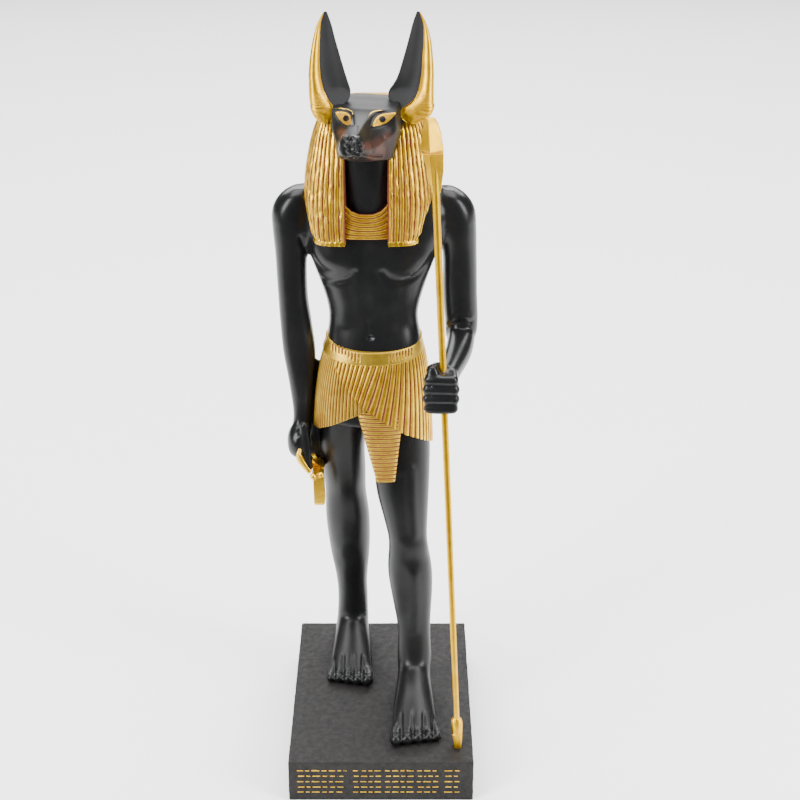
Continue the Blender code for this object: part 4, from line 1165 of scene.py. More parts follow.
def head_blob(across, ahead, height, radius):
    """A ball of clay on the head, placed across, ahead and by height."""
    return blob_rings(head_point(across, ahead, height), (radius, radius, radius), 14, 8)


def foot_lofts(shift_x, shift_y, mirrored, toes):
    """One foot with its toes; the right foot is the left one mirrored and set back."""
    side = -1 if mirrored else 1
    middle = LEFT_FOOT[0][0]
    stations = [(shift_x + middle + side * (x - middle), y + shift_y, z, w, h)
                for x, y, z, w, h in LEFT_FOOT]
    lofts = [path_rings(stations)]
    ball_back, ball_length = TOE_BALL
    for toe, (x, size) in enumerate(toes):
        y = shift_y + TOE_TIP + TOE_STEP_BACK * toe
        lofts.append(blob_rings((x, y, size * 0.9), (size * 1.05, TOE_LENGTH, size * 1.1)))
        lofts.append(blob_rings((x, y - TOE_LENGTH + ball_back, size),
                                (size * 1.1, ball_length, size * 1.2)))
    return lofts


def part_toes(data, shift_y, toes):
    """Cut the straight grooves that run back between the toes."""
    points = read_points(data)
    normals = read_normals(data)
    sink = np.zeros(len(points))
    half_width, depth, length = TOE_GROOVE
    start = shift_y + TOE_TIP - TOE_LENGTH
    along = np.clip((start + length - points[:, 1]) / TOE_GROOVE_FADE, 0.0, 1.0)
    along *= points[:, 1] > start - 1.0
    for near, far in zip(toes, toes[1:]):
        share = near[1] / (near[1] + far[1])
        gap_x = near[0] + (far[0] - near[0]) * share
        across = np.clip(1.0 - ((points[:, 0] - gap_x) / half_width) ** 2, 0.0, 1.0) ** 2
        sink += depth * across * along * (points[:, 2] < TOE_GROOVE_TOP)
    points[:, 2] -= sink * np.clip(normals[:, 2] * 2.0, 0.0, 1.0)
    write_points(data, points)


def left_fist_lofts():
    """The fist that grips the sceptre: palm, four stacked fingers and the thumb."""
    def from_grip(place):
        return tuple(part + offset for part, offset in zip(GRIP_CENTRE, place))

    lofts = [blob_rings(from_grip(centre), sizes) for centre, sizes in LEFT_PALM]
    for finger in range(FINGERS):
        height = LEFT_FINGER_TOP - LEFT_FINGER_PITCH * finger
        bulge = LEFT_FINGER_BULGE if finger in (1, 2) else 0.0
        joints = [from_grip((x + bulge * way, y, height))
                  for (x, y), way in zip(LEFT_JOINTS, (-1, 0, 1, 0))]
        for start, end, radius in zip(joints, joints[1:], LEFT_FINGER_RADII):
            lofts.append(bar_rings(start, end, radius))
    start, end, radius = LEFT_THUMB
    return lofts + [bar_rings(from_grip(start), from_grip(end), radius)]


def right_fist_lofts():
    """The hanging fist: palm, four curled fingers behind each other, and the thumb."""
    lofts = [blob_rings(*RIGHT_PALM), bar_rings(*RIGHT_THUMB)]
    (x, y, z), sizes = RIGHT_FINGER
    return lofts + [blob_rings((x, y + RIGHT_FINGER_PITCH * finger, z), sizes)
                    for finger in range(FINGERS)]


def torso_share(points):
    """How far each point lies on the torso, which is smoother than the hands."""
    low, high = TORSO_REACH
    return np.clip((points[:, 2] - low) / TORSO_FADE, 0.0, 1.0) * (points[:, 2] < high)


def make_trunk(material):
    """Torso, neck, arms and hands."""
    lofts = [level_rings(TORSO, TORSO_SIDES, TORSO_POWER, TORSO_TURN)]
    lofts += [level_rings(limb) for limb in (NECK, RIGHT_ARM, LEFT_UPPER_ARM)]
    lofts.append(path_rings(LEFT_FOREARM))
    lofts += [blob_rings(*muscle) for muscle in MUSCLES]
    lofts.append(level_rings(ARM_WEB))
    lofts += left_fist_lofts() + right_fist_lofts()
    trunk = grown_piece("trunk_and_arms", lofts, TRUNK_GRAIN)
    soften(trunk.data, TRUNK_PASSES)
    soften(trunk.data, TORSO_PASSES, torso_share(read_points(trunk.data)))
    carve_seen(trunk.data, TRUNK_MARKS)
    soften(trunk.data, TRUNK_LAST_PASSES)
    return keep_piece(trunk, material, SHARP_NEVER)


def instep_share(points):
    """How far each point lies on an instep, where the shin runs into the foot."""
    low = np.clip((INSTEP_TOP - points[:, 2]) / INSTEP_FADE, 0.0, 1.0)
    tip = np.where(points[:, 0] > 0.0, TOE_TIP, TOE_TIP + RIGHT_FOOT_SHIFT[1])
    behind = np.clip((points[:, 1] - tip - TOE_START) / TOE_FADE, TOE_SOFTNESS, 1.0)
    return low * behind


def make_legs(material):
    """Both legs and feet, from inside the kilt down to the plinth."""
    lofts = [level_rings(LEFT_LEG), level_rings(RIGHT_LEG)]
    lofts += foot_lofts(0.0, 0.0, False, LEFT_TOES)
    lofts += foot_lofts(*RIGHT_FOOT_SHIFT, True, RIGHT_TOES)
    legs = grown_piece("legs_and_feet", lofts, LEGS_GRAIN)
    soften(legs.data, LEGS_PASSES)
    soften(legs.data, INSTEP_PASSES, instep_share(read_points(legs.data)))
    carve_seen(legs.data, LEG_MARKS)
    above_toes = np.clip((read_points(legs.data)[:, 2] - TOE_GROOVE_TOP) / ABOVE_TOES_FADE,
                         0.0, 1.0)
    soften(legs.data, LEG_MARK_PASSES, above_toes)
    part_toes(legs.data, 0.0, LEFT_TOES)
    part_toes(legs.data, RIGHT_FOOT_SHIFT[1], RIGHT_TOES)
    soften(legs.data, TOE_PASSES)
    points = read_points(legs.data)
    points[:, 2] = np.maximum(points[:, 2], -SOLE_DEPTH)
    write_points(legs.data, points)
    return keep_piece(legs, material, SHARP_NEVER)


def add_brown_spots(piece, spots):
    """Say how far the paint turns brown, around spots in the photograph's pixels."""
    points = read_points(piece.data)
    pixels = photo_pixels(points)
    brown_share = np.zeros(len(points))
    for centre, reach in spots:
        gap = np.linalg.norm(pixels - np.array(centre), axis=1)
        brown_share = np.maximum(brown_share, np.clip(1.0 - gap / reach, 0.0, 1.0))
    layer = piece.data.attributes.new("brown_share", "FLOAT", "POINT")
    layer.data.foreach_set("value", (brown_share * BROWN_SPOT_SHARE).astype(np.float32))


def ahead_of_pivot(points):
    """How far each point lies ahead of the head's pivot, the way the head looks."""
    offset = points - np.array(head_point(0.0, 0.0, 0.0))
    return -offset[:, 0] * math.sin(HEAD_TURN) - offset[:, 1] * math.cos(HEAD_TURN)


def make_head(material, glossy):
    """The jackal's skull and muzzle, with its glossy nose pad."""
    clay = [head_rings()] + [head_blob(*lump) for lump in NOSE_LUMPS + CHIN_LUMPS]
    head = grown_piece("jackal_head", clay, HEAD_GRAIN)
    ahead = ahead_of_pivot(read_points(head.data))
    soften(head.data, HEAD_PASSES,
           np.clip((NOSE_CRISP - ahead) / NOSE_FADE, NOSE_SOFTNESS, 1.0))
    carve_seen(head.data, FACE_GROOVES)
    soften(head.data, HEAD_LAST_PASSES)
    add_brown_spots(head, CHEEK_BROWN_SPOTS)
    keep_piece(head, material, SHARP_NEVER)
    head.data.materials.append(glossy)
    ahead = ahead_of_pivot(read_points(head.data))
    for face in head.data.polygons:
        if min(ahead[index] for index in face.vertices) > NOSE_START:
            face.material_index = 1
    return head


def make_eyes(head, gold, dull, dark):
    """Gilt almonds and brow lines, and the pupils over them."""
    tree = surface_tree(head)
    mesh = new_mesh()
    for corners in (LEFT_EYE, RIGHT_EYE):
        paint_patch(mesh, tree, round_outline(corners, EYE_STEPS), EYE_LIFT)
    eyes = keep_piece(world_piece("eyes", mesh), gold, SHARP_PAINT)
    mesh = new_mesh()
    for route in (LEFT_BROW, RIGHT_BROW):
        paint_stroke(mesh, tree, route, BROW_HALF_WIDTH, BROW_LIFT)
    brows = keep_piece(world_piece("brows", mesh), dull, SHARP_PAINT)
    mesh = new_mesh()
    turns = [math.tau * step / PUPIL_STEPS for step in range(PUPIL_STEPS)]
    for centre in (LEFT_PUPIL, RIGHT_PUPIL):
        outline = [np.array((centre[0] + PUPIL_SIZE[0] * math.cos(turn),
                             centre[1] + PUPIL_SIZE[1] * math.sin(turn))) for turn in turns]
        paint_patch(mesh, tree, outline, PUPIL_LIFT)
    pupils = keep_piece(world_piece("pupils", mesh), dark, SHARP_PAINT)
    return [eyes, brows, pupils]


# The gilt headdress

def flute_profile(step, steps, flatness=FLATNESS):
    """Height of a rounded ridge at a step across it, from 0 in the groove to 1."""
    return abs(math.sin(math.pi * step / steps)) ** flatness


def wig_places():
    """Shares along the headdress outline, each with its depth into a groove."""
    edges = []
    for start, share, count in ((0.0, LAPPET_SHARE, LAPPET_FLUTES),
                                (LAPPET_SHARE, 1.0 - 2 * LAPPET_SHARE, BACK_FLUTES),
                                (1.0 - LAPPET_SHARE, LAPPET_SHARE, LAPPET_FLUTES)):
        edges += [start + share * flute / count for flute in range(count)]
    places = []
    for start, end in zip(edges, edges[1:] + [1.0]):
        for step in range(FLUTE_STEPS):
            share = start + (end - start) * step / FLUTE_STEPS
            places.append((share, 1.0 - flute_profile(step, FLUTE_STEPS)))
    return places + [(1.0, 1.0)]


def along_outline(points, shares):
    """Points at shares of the length of an open outline."""
    lengths = [0.0]
    for start, end in zip(points, points[1:]):
        lengths.append(lengths[-1] + (end - start).length)
    result = []
    segment = 0
    for share in shares:
        target = share * lengths[-1]
        while segment < len(points) - 2 and lengths[segment + 1] < target:
            segment += 1
        span = lengths[segment + 1] - lengths[segment]
        t = (target - lengths[segment]) / span
        result.append(points[segment].lerp(points[segment + 1], t))
    return result


def wig_outline(level):
    """The outline of one level of the headdress, from one side of the face round to the other."""
    z, centre_x, half_width, front, back = level
    half_depth = (back - front) / 2
    power = line_value(WIG_SQUARENESS, z)
    left_share = min((FACE_OPENING[1] - centre_x) / half_width, 1.0)
    right_share = min((centre_x - FACE_OPENING[0]) / half_width, 1.0)
    left_end = math.asin(left_share ** (power / 2))
    right_end = math.asin(right_share ** (power / 2))
    outline = []
    for step in range(OUTLINE_STEPS + 1):
        angle = left_end + (math.tau - left_end - right_end) * step / OUTLINE_STEPS
        x, y = oval(angle, half_width, half_depth, power)
        outline.append(Vector((centre_x + x, (front + back) / 2 + y, z)))
    return outline


def wig_ring(level, depth, shade):
    """One level ring of the headdress, open ahead for the face, and its groove shades."""
    z, centre_x, _, front, back = level
    centre = Vector((centre_x, (front + back) / 2, z))
    places = wig_places()
    ring = []
    shades = []
    points = along_outline(wig_outline(level), [p[0] for p in places])
    for point, (share, valley) in zip(points, places):
        inward = (centre - point).normalized()
        aside = Vector((-inward.y, inward.x, 0.0))
        waver = noise.noise(Vector((share * WAVER[1], z * WAVER[2], 0.0))) * WAVER[0]
        pit = noise.noise(Vector((share * WAVER[1], z * WAVER[3], PIT_DRAW))) * PIT_DEPTH
        ring.append(point + inward * (depth * valley + max(pit, 0.0) * depth) + aside * waver)
        shades.append(shade * valley)
    open_share = min((FACE_OPENING_TOP - z) / FACE_OPENING_FADE, 1.0)
    inner = min(front + FACE_OPENING_DEPTH * open_share, centre.y)
    ring.append(Vector((FACE_OPENING[0] + FACE_OPENING_LIP, inner, z)))
    ring.append(Vector((FACE_OPENING[1] - FACE_OPENING_LIP, inner, z)))
    return ring, shades + [1.0, 1.0]


def make_headdress(material):
    """The fluted headdress, from the plain band at its lower edge up to the crown."""
    z, *rest = WIG_LEVELS[0]
    band_top = z + WIG_BAND
    rows = []
    for height, depth, shade in ((z, BAND_EDGE, 0.0), (z + BAND_STEP, 0.0, 0.0),
                                 (band_top - BAND_LIP, 0.0, 0.0), (band_top, FLUTE_DEPTH, 1.0),
                                 (band_top + BAND_STEP, FLUTE_DEPTH, 1.0)):
        rows.append(wig_ring((height, *rest), depth, shade))
    rows += [wig_ring(level, FLUTE_DEPTH, 1.0)
             for level in smooth_stations(WIG_LEVELS, WIG_STEPS)[BAND_STEPS:]]
    mesh = new_mesh()
    add_loft(mesh, [row[0] for row in rows], (None, Vector(CROWN_PEAK)),
             [row[1] for row in rows])
    return keep_piece(piece_from("headdress", mesh), material, SHARP_RELIEF)


def ear_profile(outer, rim, inner, bowl):
    """Across an ear from its outer edge round the front to the back: (x, share of depth)."""
    width = inner - outer
    band = rim - outer
    hollow = inner - rim
    depth, lowest, power, outside, inside = EAR_BAND
    profile = [(outer, 0.5), (outer + 0.01 * band, 0.34)]
    for step in range(EAR_GOLD_STEPS):
        t = (step + 0.5) / EAR_GOLD_STEPS
        share = depth * abs(2.0 * t - lowest) ** power * (outside if t < 0.4 else inside)
        profile.append((outer + band * (0.03 + 0.97 * t), 0.02 + share))
    profile += [(rim, 0.24), (rim + hollow * 0.04, 0.08 + 0.24 * bowl)]
    profile += [(rim + hollow * t, 0.08 + share * bowl) for t, share in EAR_BOWL]
    profile += [(inner - width * t, share) for t, share in EAR_BACK]
    return profile


def ear_rings(levels):
    """One tall ear: a bowl open ahead, with a gilt rim that widens down its outer side."""
    rings = []
    shades = []
    height = levels[0][0] - EAR_BASE
    pivot_x = levels[6][2]
    for z, outer, rim, inner in smooth_stations(levels, EAR_STEPS):
        rise = (z - EAR_BASE) / height
        depth = (EAR_DEPTH * (1.0 - EAR_TAPER * max(rise, 0.0))
                 * min(1.0, 1.0 + EAR_FOOT_TAPER * min(rise, 0.0)))
        bowl = min(max((z - EAR_BOWL_FOOT[0]) / EAR_BOWL_FOOT[1], 0.0), 1.0)
        y = EAR_FRONT + EAR_LEAN * (z - EAR_BASE)
        ring = []
        shade = []
        for index, (x, share) in enumerate(ear_profile(outer, rim, inner, bowl)):
            sink = 0.0
            bare = 0.0
            if 2 <= index < 2 + EAR_GOLD_STEPS:
                turn = math.atan2(z - EAR_BASE, x - pivot_x)
                fade = min(max((HATCH_TOP - z) / HATCH_FADE, 0.0), 1.0)
                across = math.sin(math.pi * (index - 1.5) / EAR_GOLD_STEPS)
                line = 0.5 + 0.5 * math.cos(turn * HATCH_COUNT)
                bare = fade * across * line * HATCH_SHADE
                sink = HATCH_DEPTH * bare
            ring.append(Vector((x, y + depth * share + sink, z)))
            shade.append(bare)
        rings.append(ring)
        shades.append(shade)
    return rings, shades


def make_ear(name, levels, black, gold):
    """An ear with its gilt outer rim, which takes the second material."""
    mesh = new_mesh()
    rings, shades = ear_rings(levels)
    add_loft(mesh, rings, shades=shades)
    ear = piece_from(name, mesh)
    keep_piece(ear, black, SHARP_PAINT)
    ear.data.materials.append(gold)
    count = len(rings[0])
    for face in ear.data.polygons:
        sides = {index % count for index in face.vertices}
        if len(face.vertices) == 4 and max(sides) < EAR_GOLD_STEPS + 3:
            face.material_index = 1
    return ear


# The kilt

def kilt_place(angle, z, proud):
    """A point of the kilt's surface at an angle from the front and a height."""
    below = max(KILT_TOP + KILT_TOP_RISE - z - FLARE_DROP, 0.0)
    flare = 1.0 - math.exp(-below / KILT_FLARE_RATE)
    half_width = KILT_WAIST[0] + KILT_FLARE[0] * flare + proud
    half_depth = KILT_WAIST[1] + KILT_FLARE[1] * flare + proud
    x, y = oval(angle, half_width, half_depth, KILT_POWER)
    return Vector((KILT_CENTRE[0] + KILT_DRIFT * flare + x, KILT_CENTRE[1] + y, z))


def kilt_top(angle):
    """The height of the kilt's upper edge, lowest at the front."""
    return KILT_TOP + KILT_TOP_RISE * min(1.0, 1.0 - math.cos(angle))


def make_under_wrap(material):
    """The inner wrap: a pleated skirt all round."""
    rings = []
    shades = []
    steps = UNDER_PLEATS * PLEAT_STEPS * 2
    for level in range(KILT_LEVELS + 1):
        ring = []
        shade = []
        for step in range(steps):
            angle = math.radians(-180.0 + 360.0 * step / steps)
            top = kilt_top(angle) - UNDER_DROP
            hem = line_value(UNDER_HEM, math.degrees(angle))
            valley = 1.0 - flute_profile(step % PLEAT_STEPS, PLEAT_STEPS, PLEAT_FLATNESS)
            z = top + (hem + HEM_TOOTH * valley - top) * level / KILT_LEVELS
            ring.append(kilt_place(angle, z, -UNDER_SINK - valley * PLEAT_DEPTH))
            shade.append(valley)
        rings.append(ring)
        shades.append(shade)
    mesh = new_mesh()
    add_loft(mesh, rings, (Vector((*KILT_CENTRE, KILT_TOP - OVER_DROP)),
                           Vector((KILT_CENTRE[0] + KILT_DRIFT, KILT_CENTRE[1], UNDER_FLOOR))), shades)
    return keep_piece(piece_from("kilt_inner_wrap", mesh), material, SHARP_RELIEF)


def make_over_wrap(material):
    """The outer wrap: a pleated slab from its slanting front edge round to the back."""
    start = math.radians(WRAP_EDGE[0][0])
    end = math.radians(180.0)
    rings = []
    shades = []
    steps = OVER_PLEATS * PLEAT_STEPS
    for step in range(steps + 1):
        at = start + (end - start) * step / steps
        lean = OVER_PLEAT_LEAN * math.exp(-((math.degrees(at) - LEAN_MIDDLE) / LEAN_REACH) ** 2)
        foot = max(at + lean, start)
        valley = 1.0 - flute_profile(step % PLEAT_STEPS, PLEAT_STEPS, PLEAT_FLATNESS)
        crest = WRAP_PROUD - PLEAT_DEPTH * valley
        top = kilt_top(at) - OVER_DROP
        hem = line_value(WRAP_EDGE, math.degrees(foot)) + HEM_TOOTH * valley
        ring = []
        for level in range(KILT_LEVELS + 1):
            t = level / KILT_LEVELS
            ring.append(kilt_place(at + (foot - at) * t, top + (hem - top) * t, crest))
        ring += [kilt_place(foot, hem, -WRAP_REACH), kilt_place(at, top, -WRAP_REACH)]
        rings.append(ring)
        shades.append([valley] * (KILT_LEVELS + 1) + [1.0, 1.0])
    mesh = new_mesh()
    add_loft(mesh, rings, shades=shades)
    return keep_piece(piece_from("kilt_outer_wrap", mesh), material, SHARP_RELIEF)


def belt_marks():
    """The rows of short upright marks on the belt's front, in the photograph's pixels."""
    marks = []
    for start, end in BELT_MARKED:
        count = round((end - start) / BELT_MARK_PITCH)
        for index in range(count + 1):
            u = start + (end - start) * index / count
            v = line_value(BELT_MIDDLE, u)
            marks.append(([(u, v - BELT_MARK_REACH), (u, v + BELT_MARK_REACH)], *BELT_MARK_CUT))
    return marks


def make_belt(material):
    """The belt: a flat band that follows the kilt's upper edge, marked in front."""
    rings = []
    for row in range(BELT_ROWS + 1):
        share = row / BELT_ROWS
        edge = min(share, 1.0 - share) * BELT_HEIGHT
        proud = BELT_LIP[0] + (BELT_PROUD - BELT_LIP[0]) * min(edge / BELT_LIP[1], 1.0)
        ring = []
        for step in range(BELT_STEPS):
            angle = math.tau * step / BELT_STEPS
            ring.append(kilt_place(angle, kilt_top(angle) - share * BELT_HEIGHT, proud))
        rings.append(ring)
    mesh = new_mesh()
    add_loft(mesh, rings, (Vector((*KILT_CENTRE, KILT_TOP)),
                           Vector((*KILT_CENTRE, KILT_TOP - BELT_DROP))))
    belt = piece_from("belt", mesh)
    carve_seen(belt.data, belt_marks(), True)
    return keep_piece(belt, material, SHARP_RELIEF)


def make_ribbed_panel(name, top, bottom, ribs, front, bend, sag, thickness, material):
    """A hanging panel with level ribs, between two ends of (left x, right x, z).

    It is bent back at its sides, and its upper corners stand up by sag.
    """
    middle = (top[0] + top[1]) / 2
    rings = []
    shades = []
    steps = ribs * RIB_STEPS
    for step in range(steps + 1):
        t = step / steps
        left, right, z = (start + (end - start) * t for start, end in zip(top, bottom))
        y = front[0] + front[1] * t
        valley = 1.0 - flute_profile(step % RIB_STEPS, RIB_STEPS)
        ring = []
        for share, back in PANEL_ACROSS:
            x = left + (right - left) * share
            lift = sag * (1.0 - t) * abs(2.0 * share - 1.0) ** 3
            sink = back + RIB_DEPTH * valley + bend * (x - middle) ** 2
            ring.append(Vector((x, y + sink, z + lift)))
        behind = z - PANEL_DROP * (1.0 - t)
        ring += [Vector((x, y + thickness, behind)) for x in (right, left)]
        rings.append(ring)
        shades.append([valley] * len(PANEL_ACROSS) + [1.0, 1.0])
    mesh = new_mesh()
    add_loft(mesh, rings, shades=shades)
    return keep_piece(piece_from(name, mesh), material, SHARP_RELIEF)


def make_cross(material):
    """The looped cross: its stem, its bar, its loop and the strap that holds it."""
    top, middle, foot = (Vector(place) for place in (CROSS_TOP, CROSS_MIDDLE, CROSS_FOOT))
    down = (middle - top).normalized()
    fall = (foot - middle).normalized()
    level = Vector((0, 1, 0))
    half = CROSS_THICKNESS / 2

    def square_ring(centre, side, half_side, across, half_across):
        return [centre + side * a * half_side + across * b * half_across
                for a, b in ((-1, -1), (1, -1), (1, 1), (-1, 1))]

    flat = down.cross(level).normalized()
    aside = fall.cross(level).normalized()
    stem = [square_ring(Vector(place) + fall * way, level, size, aside, half * share)
            for place, way, size, share in CROSS_STEM]
    bar = [square_ring(middle + level * offset, down, size, flat, half * CROSS_BAR_SHARE)
           for offset, size in CROSS_BAR]
    loop = []
    centre = top + down * LOOP_DROP + level * LOOP_BACK
    for step in range(LOOP_STEPS):
        angle = math.tau * step / LOOP_STEPS
        out = (down * -math.cos(angle) * LOOP_RADII[0]
               + level * math.sin(angle) * LOOP_RADII[1])
        loop.append(square_ring(centre + out, out.normalized(), LOOP_WIDTH, flat,
                                LOOP_THICKNESS / 2))
    mesh = new_mesh()
    add_loft(mesh, stem)
    add_loft(mesh, bar)
    add_loft(mesh, loop, closed=True)
    add_loft(mesh, path_rings(CROSS_STRAP, 16))
    for knob in CROSS_KNOBS:
        add_loft(mesh, blob_rings(knob, (KNOB_RADIUS,) * 3, 16, 8))
    cross = piece_from("looped_cross", mesh)
    soften_edges(cross, CROSS_SOFTNESS)
    return keep_piece(cross, material, SHARP_CROSS)


# The sceptre

# Round the crest: the side that gives a corner's x, and the side and share that give its y
CREST_CORNERS = [("left", "back", 0.3), ("left", "ahead", 0.35), ("ridge", "ahead", 1.0),
                 ("right", "ahead", 0.3), ("right", "back", 0.5), (None, "back", 1.0)]


def sceptre_line():
    """The sceptre's foot and its direction, up through the grip."""
    foot = Vector((*SCEPTRE_FOOT, 0.0))
    return foot, (Vector(GRIP_CENTRE) - foot).normalized()


def make_sceptre(material):
    """The gilt sceptre: forked foot, tapered shaft, and a long-snouted crest."""
    foot, up = sceptre_line()

    def on_line(height):
        return foot + up * (height / up.z)

    def section(centre, half_width, half_depth, sides=12):
        turns = [math.tau * (side + 0.5) / sides for side in range(sides)]
        return [centre + Vector((math.cos(turn) * half_width, math.sin(turn) * half_depth, 0))
                for turn in turns]

    neck = SCEPTRE_HEIGHT - CREST_HEIGHT
    width, depth, height = FORK_SIZE
    notch_half = FORK_NOTCH[0] / 2
    prong = (depth / 2 - notch_half) / 2
    mesh = new_mesh()
    for side in (-1, 1):
        offset = Vector((0.0, side * (notch_half + prong), 0.0))
        add_loft(mesh, [section(on_line(level) + offset, width / 2 * share, prong * thin)
                        for level, share, thin in PRONG_RINGS])
    rings = [section(on_line(level), width / 2 * share, depth / 2 * thin)
             for level, share, thin in BLADE_RINGS]
    first = height * SHAFT_START
    last = neck + CREST_HEIGHT * CREST_SEAT
    for step in range(SHAFT_STEPS + 1):
        share = step / SHAFT_STEPS
        radius = SHAFT_RADII[0] + (SHAFT_RADII[1] - SHAFT_RADII[0]) * share
        rings.append(section(on_line(first + (last - first) * share), radius, radius))
    add_loft(mesh, rings)
    crest = []
    for share, *sides in CREST_RINGS:
        sides = dict(zip(("left", "ridge", "ahead", "right", "back"), sides))
        middle = on_line(neck + CREST_HEIGHT * share)
        crest.append([middle + Vector((sides.get(across, 0.0), sides[along] * part, 0.0))
                      for across, along, part in CREST_CORNERS])
    add_loft(mesh, crest)
    sceptre = piece_from("sceptre", mesh)
    soften_edges(sceptre, SCEPTRE_SOFTNESS).limit_method = "ANGLE"
    return keep_piece(sceptre, material, SHARP_SCEPTRE)


# The plinth

PLINTH_STEP = 0.0006
PLINTH_EDGE = 0.0005
PLINTH_ROUGHNESS = 0.0004

# The cast surface's lumps as (features per metre, share), beside a level that is always there
PLINTH_LEVEL = 0.3
PLINTH_LUMPS = [(450.0, 0.275), (1300.0, 0.1925), (70.0, 0.12)]


def make_plinth(material):
    """The rough slab: a softened block with a cast, slightly uneven surface."""
    low = Vector(PLINTH_LOW)
    high = Vector(PLINTH_HIGH)
    size = high - low
    counts = [max(2, round(size[axis] / PLINTH_STEP)) for axis in range(3)]
    mesh = new_mesh()
    corners = {}

    def corner(lattice):
        if lattice not in corners:
            corners[lattice] = mesh.verts.new([low[axis] + size[axis] * lattice[axis] / counts[axis]
                                               for axis in range(3)])
        return corners[lattice]

    for axis in range(3):
        first, second = [other for other in range(3) if other != axis]
        for level in (0, counts[axis]):
            for i in range(counts[first]):
                for j in range(counts[second]):
                    face = []
                    for a, b in ((0, 0), (1, 0), (1, 1), (0, 1)):
                        lattice = [0, 0, 0]
                        lattice[axis] = level
                        lattice[first] = i + a
                        lattice[second] = j + b
                        face.append(corner(tuple(lattice)))
                    mesh.faces.new(face)
    edge = Vector((PLINTH_EDGE,) * 3)
    inner_low, inner_high = low + edge, high - edge
    for vert in mesh.verts:
        core = Vector([min(max(vert.co[axis], inner_low[axis]), inner_high[axis])
                       for axis in range(3)])
        out = (vert.co - core).normalized()
        rough = PLINTH_LEVEL + sum(noise.noise(vert.co * scale) * share
                                   for scale, share in PLINTH_LUMPS)
        rests = vert.co.z < low.z + PLINTH_EDGE * 0.5
        sink = 0.0 if rests else PLINTH_ROUGHNESS * max(rough, 0.0)
        vert.co = core + out * (PLINTH_EDGE - sink)
    bmesh.ops.recalc_face_normals(mesh, faces=mesh.faces)
    return keep_piece(world_piece("plinth_slab", mesh), material, SHARP_NEVER)


def make_strokes(material):
    """Rows of short gilt strokes where the plinth's front carries its inscription."""
    mesh = new_mesh()
    count = 0
    for start, end in STROKE_GROUPS:
        for row, height in enumerate(STROKE_ROWS):
            x = start + STROKE_STAGGER * (row % 2)
            while x < end - 1.0:
                length = min(STROKE_LENGTHS[count % len(STROKE_LENGTHS)], end - x)
                count += 1
                rings = []
                for share, size in STROKE_SHAPE:
                    half = STROKE_HEIGHT * size / 2
                    rings.append([Vector(((x + length * share) / 1000,
                                          PLINTH_LOW[1] + back / 1000,
                                          PLINTH_LOW[2] + (height + half * rise) / 1000))
                                  for back, rise in STROKE_SECTION])
                add_loft(mesh, rings)
                x += length + STROKE_GAP
    return keep_piece(world_piece("plinth_strokes", mesh), material, SHARP_PAINT)


# Camera, floor and light

FLOOR_REACH = 5.0
FLOOR_SPLIT = -0.15
FLOOR_GAP = 0.0002
WORLD_LIGHT = 0.12
LIGHT_AIM = (0.0, 0.0, 0.16)

# The soft panels as (name, place, size, power)
PANELS = [
    ("left_panel", (-1.0, -0.8, 0.75), (0.45, 1.0), 34.0),
    ("right_panel", (1.05, -0.6, 0.65), (0.35, 1.0), 26.0),
    ("top_panel", (0.0, 0.1, 1.5), (1.6, 1.2), 62.0),
    ("back_panel", (0.0, 1.5, 1.2), (2.4, 1.0), 60.0),
]


def make_camera():
    """The photograph's viewpoint."""
    data = bpy.data.cameras.new("photo_camera")
    data.lens = CAMERA_LENS
    data.clip_start = 0.01
    camera = new_object("photo_camera", data)
    camera.location = CAMERA_PLACE
    camera.rotation_euler = (CAMERA_TILT, 0.0, 0.0)
    bpy.context.scene.camera = camera


def make_floor(name, front, back, mirrored, material):
    """A wide pale floor under the plinth, between two places ahead and behind."""
    mesh = bmesh.new()
    mesh.faces.new([mesh.verts.new((x, y, 0.0))
                    for x, y in ((-FLOOR_REACH, front), (FLOOR_REACH, front), (FLOOR_REACH, back),
                                 (-FLOOR_REACH, back))])
    floor = world_piece(name, mesh)
    floor.location = (0.0, 0.0, PLINTH_LOW[2] - FLOOR_GAP)
    floor.data.materials.append(material)
    floor.visible_glossy = mirrored


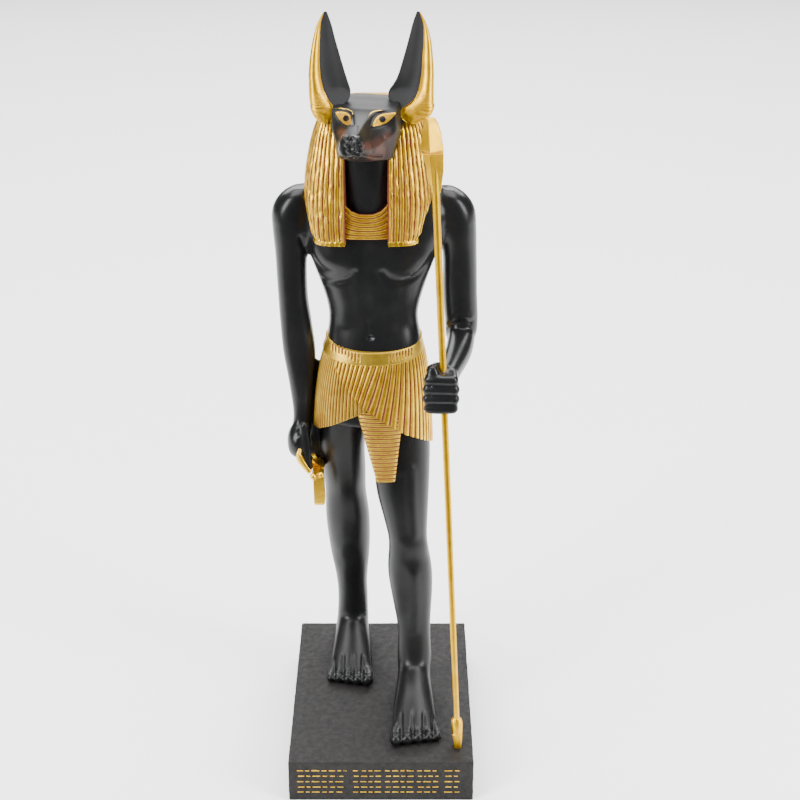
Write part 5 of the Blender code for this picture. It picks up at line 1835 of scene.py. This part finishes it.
def make_light(name, place, size, power):
    """A soft panel of light that points at the middle of the figure."""
    data = bpy.data.lights.new(name, "AREA")
    data.shape = "RECTANGLE"
    data.size, data.size_y = size
    data.energy = power
    light = new_object(name, data)
    light.location = place
    light.rotation_euler = (Vector(LIGHT_AIM) - Vector(place)).to_track_quat("-Z", "Y").to_euler()


def make_studio():
    """Soft white surroundings, and panels at both sides, overhead and behind."""
    world = bpy.data.worlds.new("studio")
    world.use_nodes = True
    background = world.node_tree.nodes["Background"]
    background.inputs["Color"].default_value = (1.0, 1.0, 1.0, 1.0)
    background.inputs["Strength"].default_value = WORLD_LIGHT
    bpy.context.scene.world = world
    for panel in PANELS:
        make_light(*panel)


def main():
    make_camera()
    pale = floor_material()
    make_floor("studio_floor", FLOOR_SPLIT, FLOOR_REACH, True, pale)
    make_floor("studio_floor_ahead", -FLOOR_REACH, FLOOR_SPLIT, False, pale)
    make_studio()
    black, leg_black, satin, matte = (black_material(name) for name in BLACKS)
    sceptre_gold_and_ear_shade, eye_gold, bright_gold, kilt_gold = (gold_material(name) for name in GOLDS)
    pieces = [make_trunk(black), make_legs(leg_black)]
    head = make_head(satin, black)
    pieces += [head, make_headdress(bright_gold),
               # The ears' gilt rims take the sceptre's darker gold as painted shade for the strong
               # light from above and behind
               make_ear("right_ear", RIGHT_EAR, matte, sceptre_gold_and_ear_shade),
               make_ear("left_ear", LEFT_EAR, matte, sceptre_gold_and_ear_shade),
               make_under_wrap(kilt_gold), make_over_wrap(bright_gold), make_belt(kilt_gold),
               make_ribbed_panel("apron", APRON_TOP, APRON_BOTTOM, APRON_RIBS, APRON_FRONT,
                                 APRON_BEND, 0.0, APRON_THICKNESS, kilt_gold),
               make_ribbed_panel("collar", COLLAR_TOP, COLLAR_BOTTOM, COLLAR_RIBS, COLLAR_FRONT,
                                 COLLAR_BEND, COLLAR_SAG, COLLAR_THICKNESS, bright_gold),
               make_cross(bright_gold)]
    pieces += make_eyes(head, eye_gold, kilt_gold, black)
    for piece in pieces:
        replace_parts(piece, "anubis_figure")
    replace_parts(make_sceptre(sceptre_gold_and_ear_shade), "was_sceptre")
    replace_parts(make_plinth(plinth_material()), "plinth")
    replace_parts(make_strokes(bright_gold), "plinth")


main()
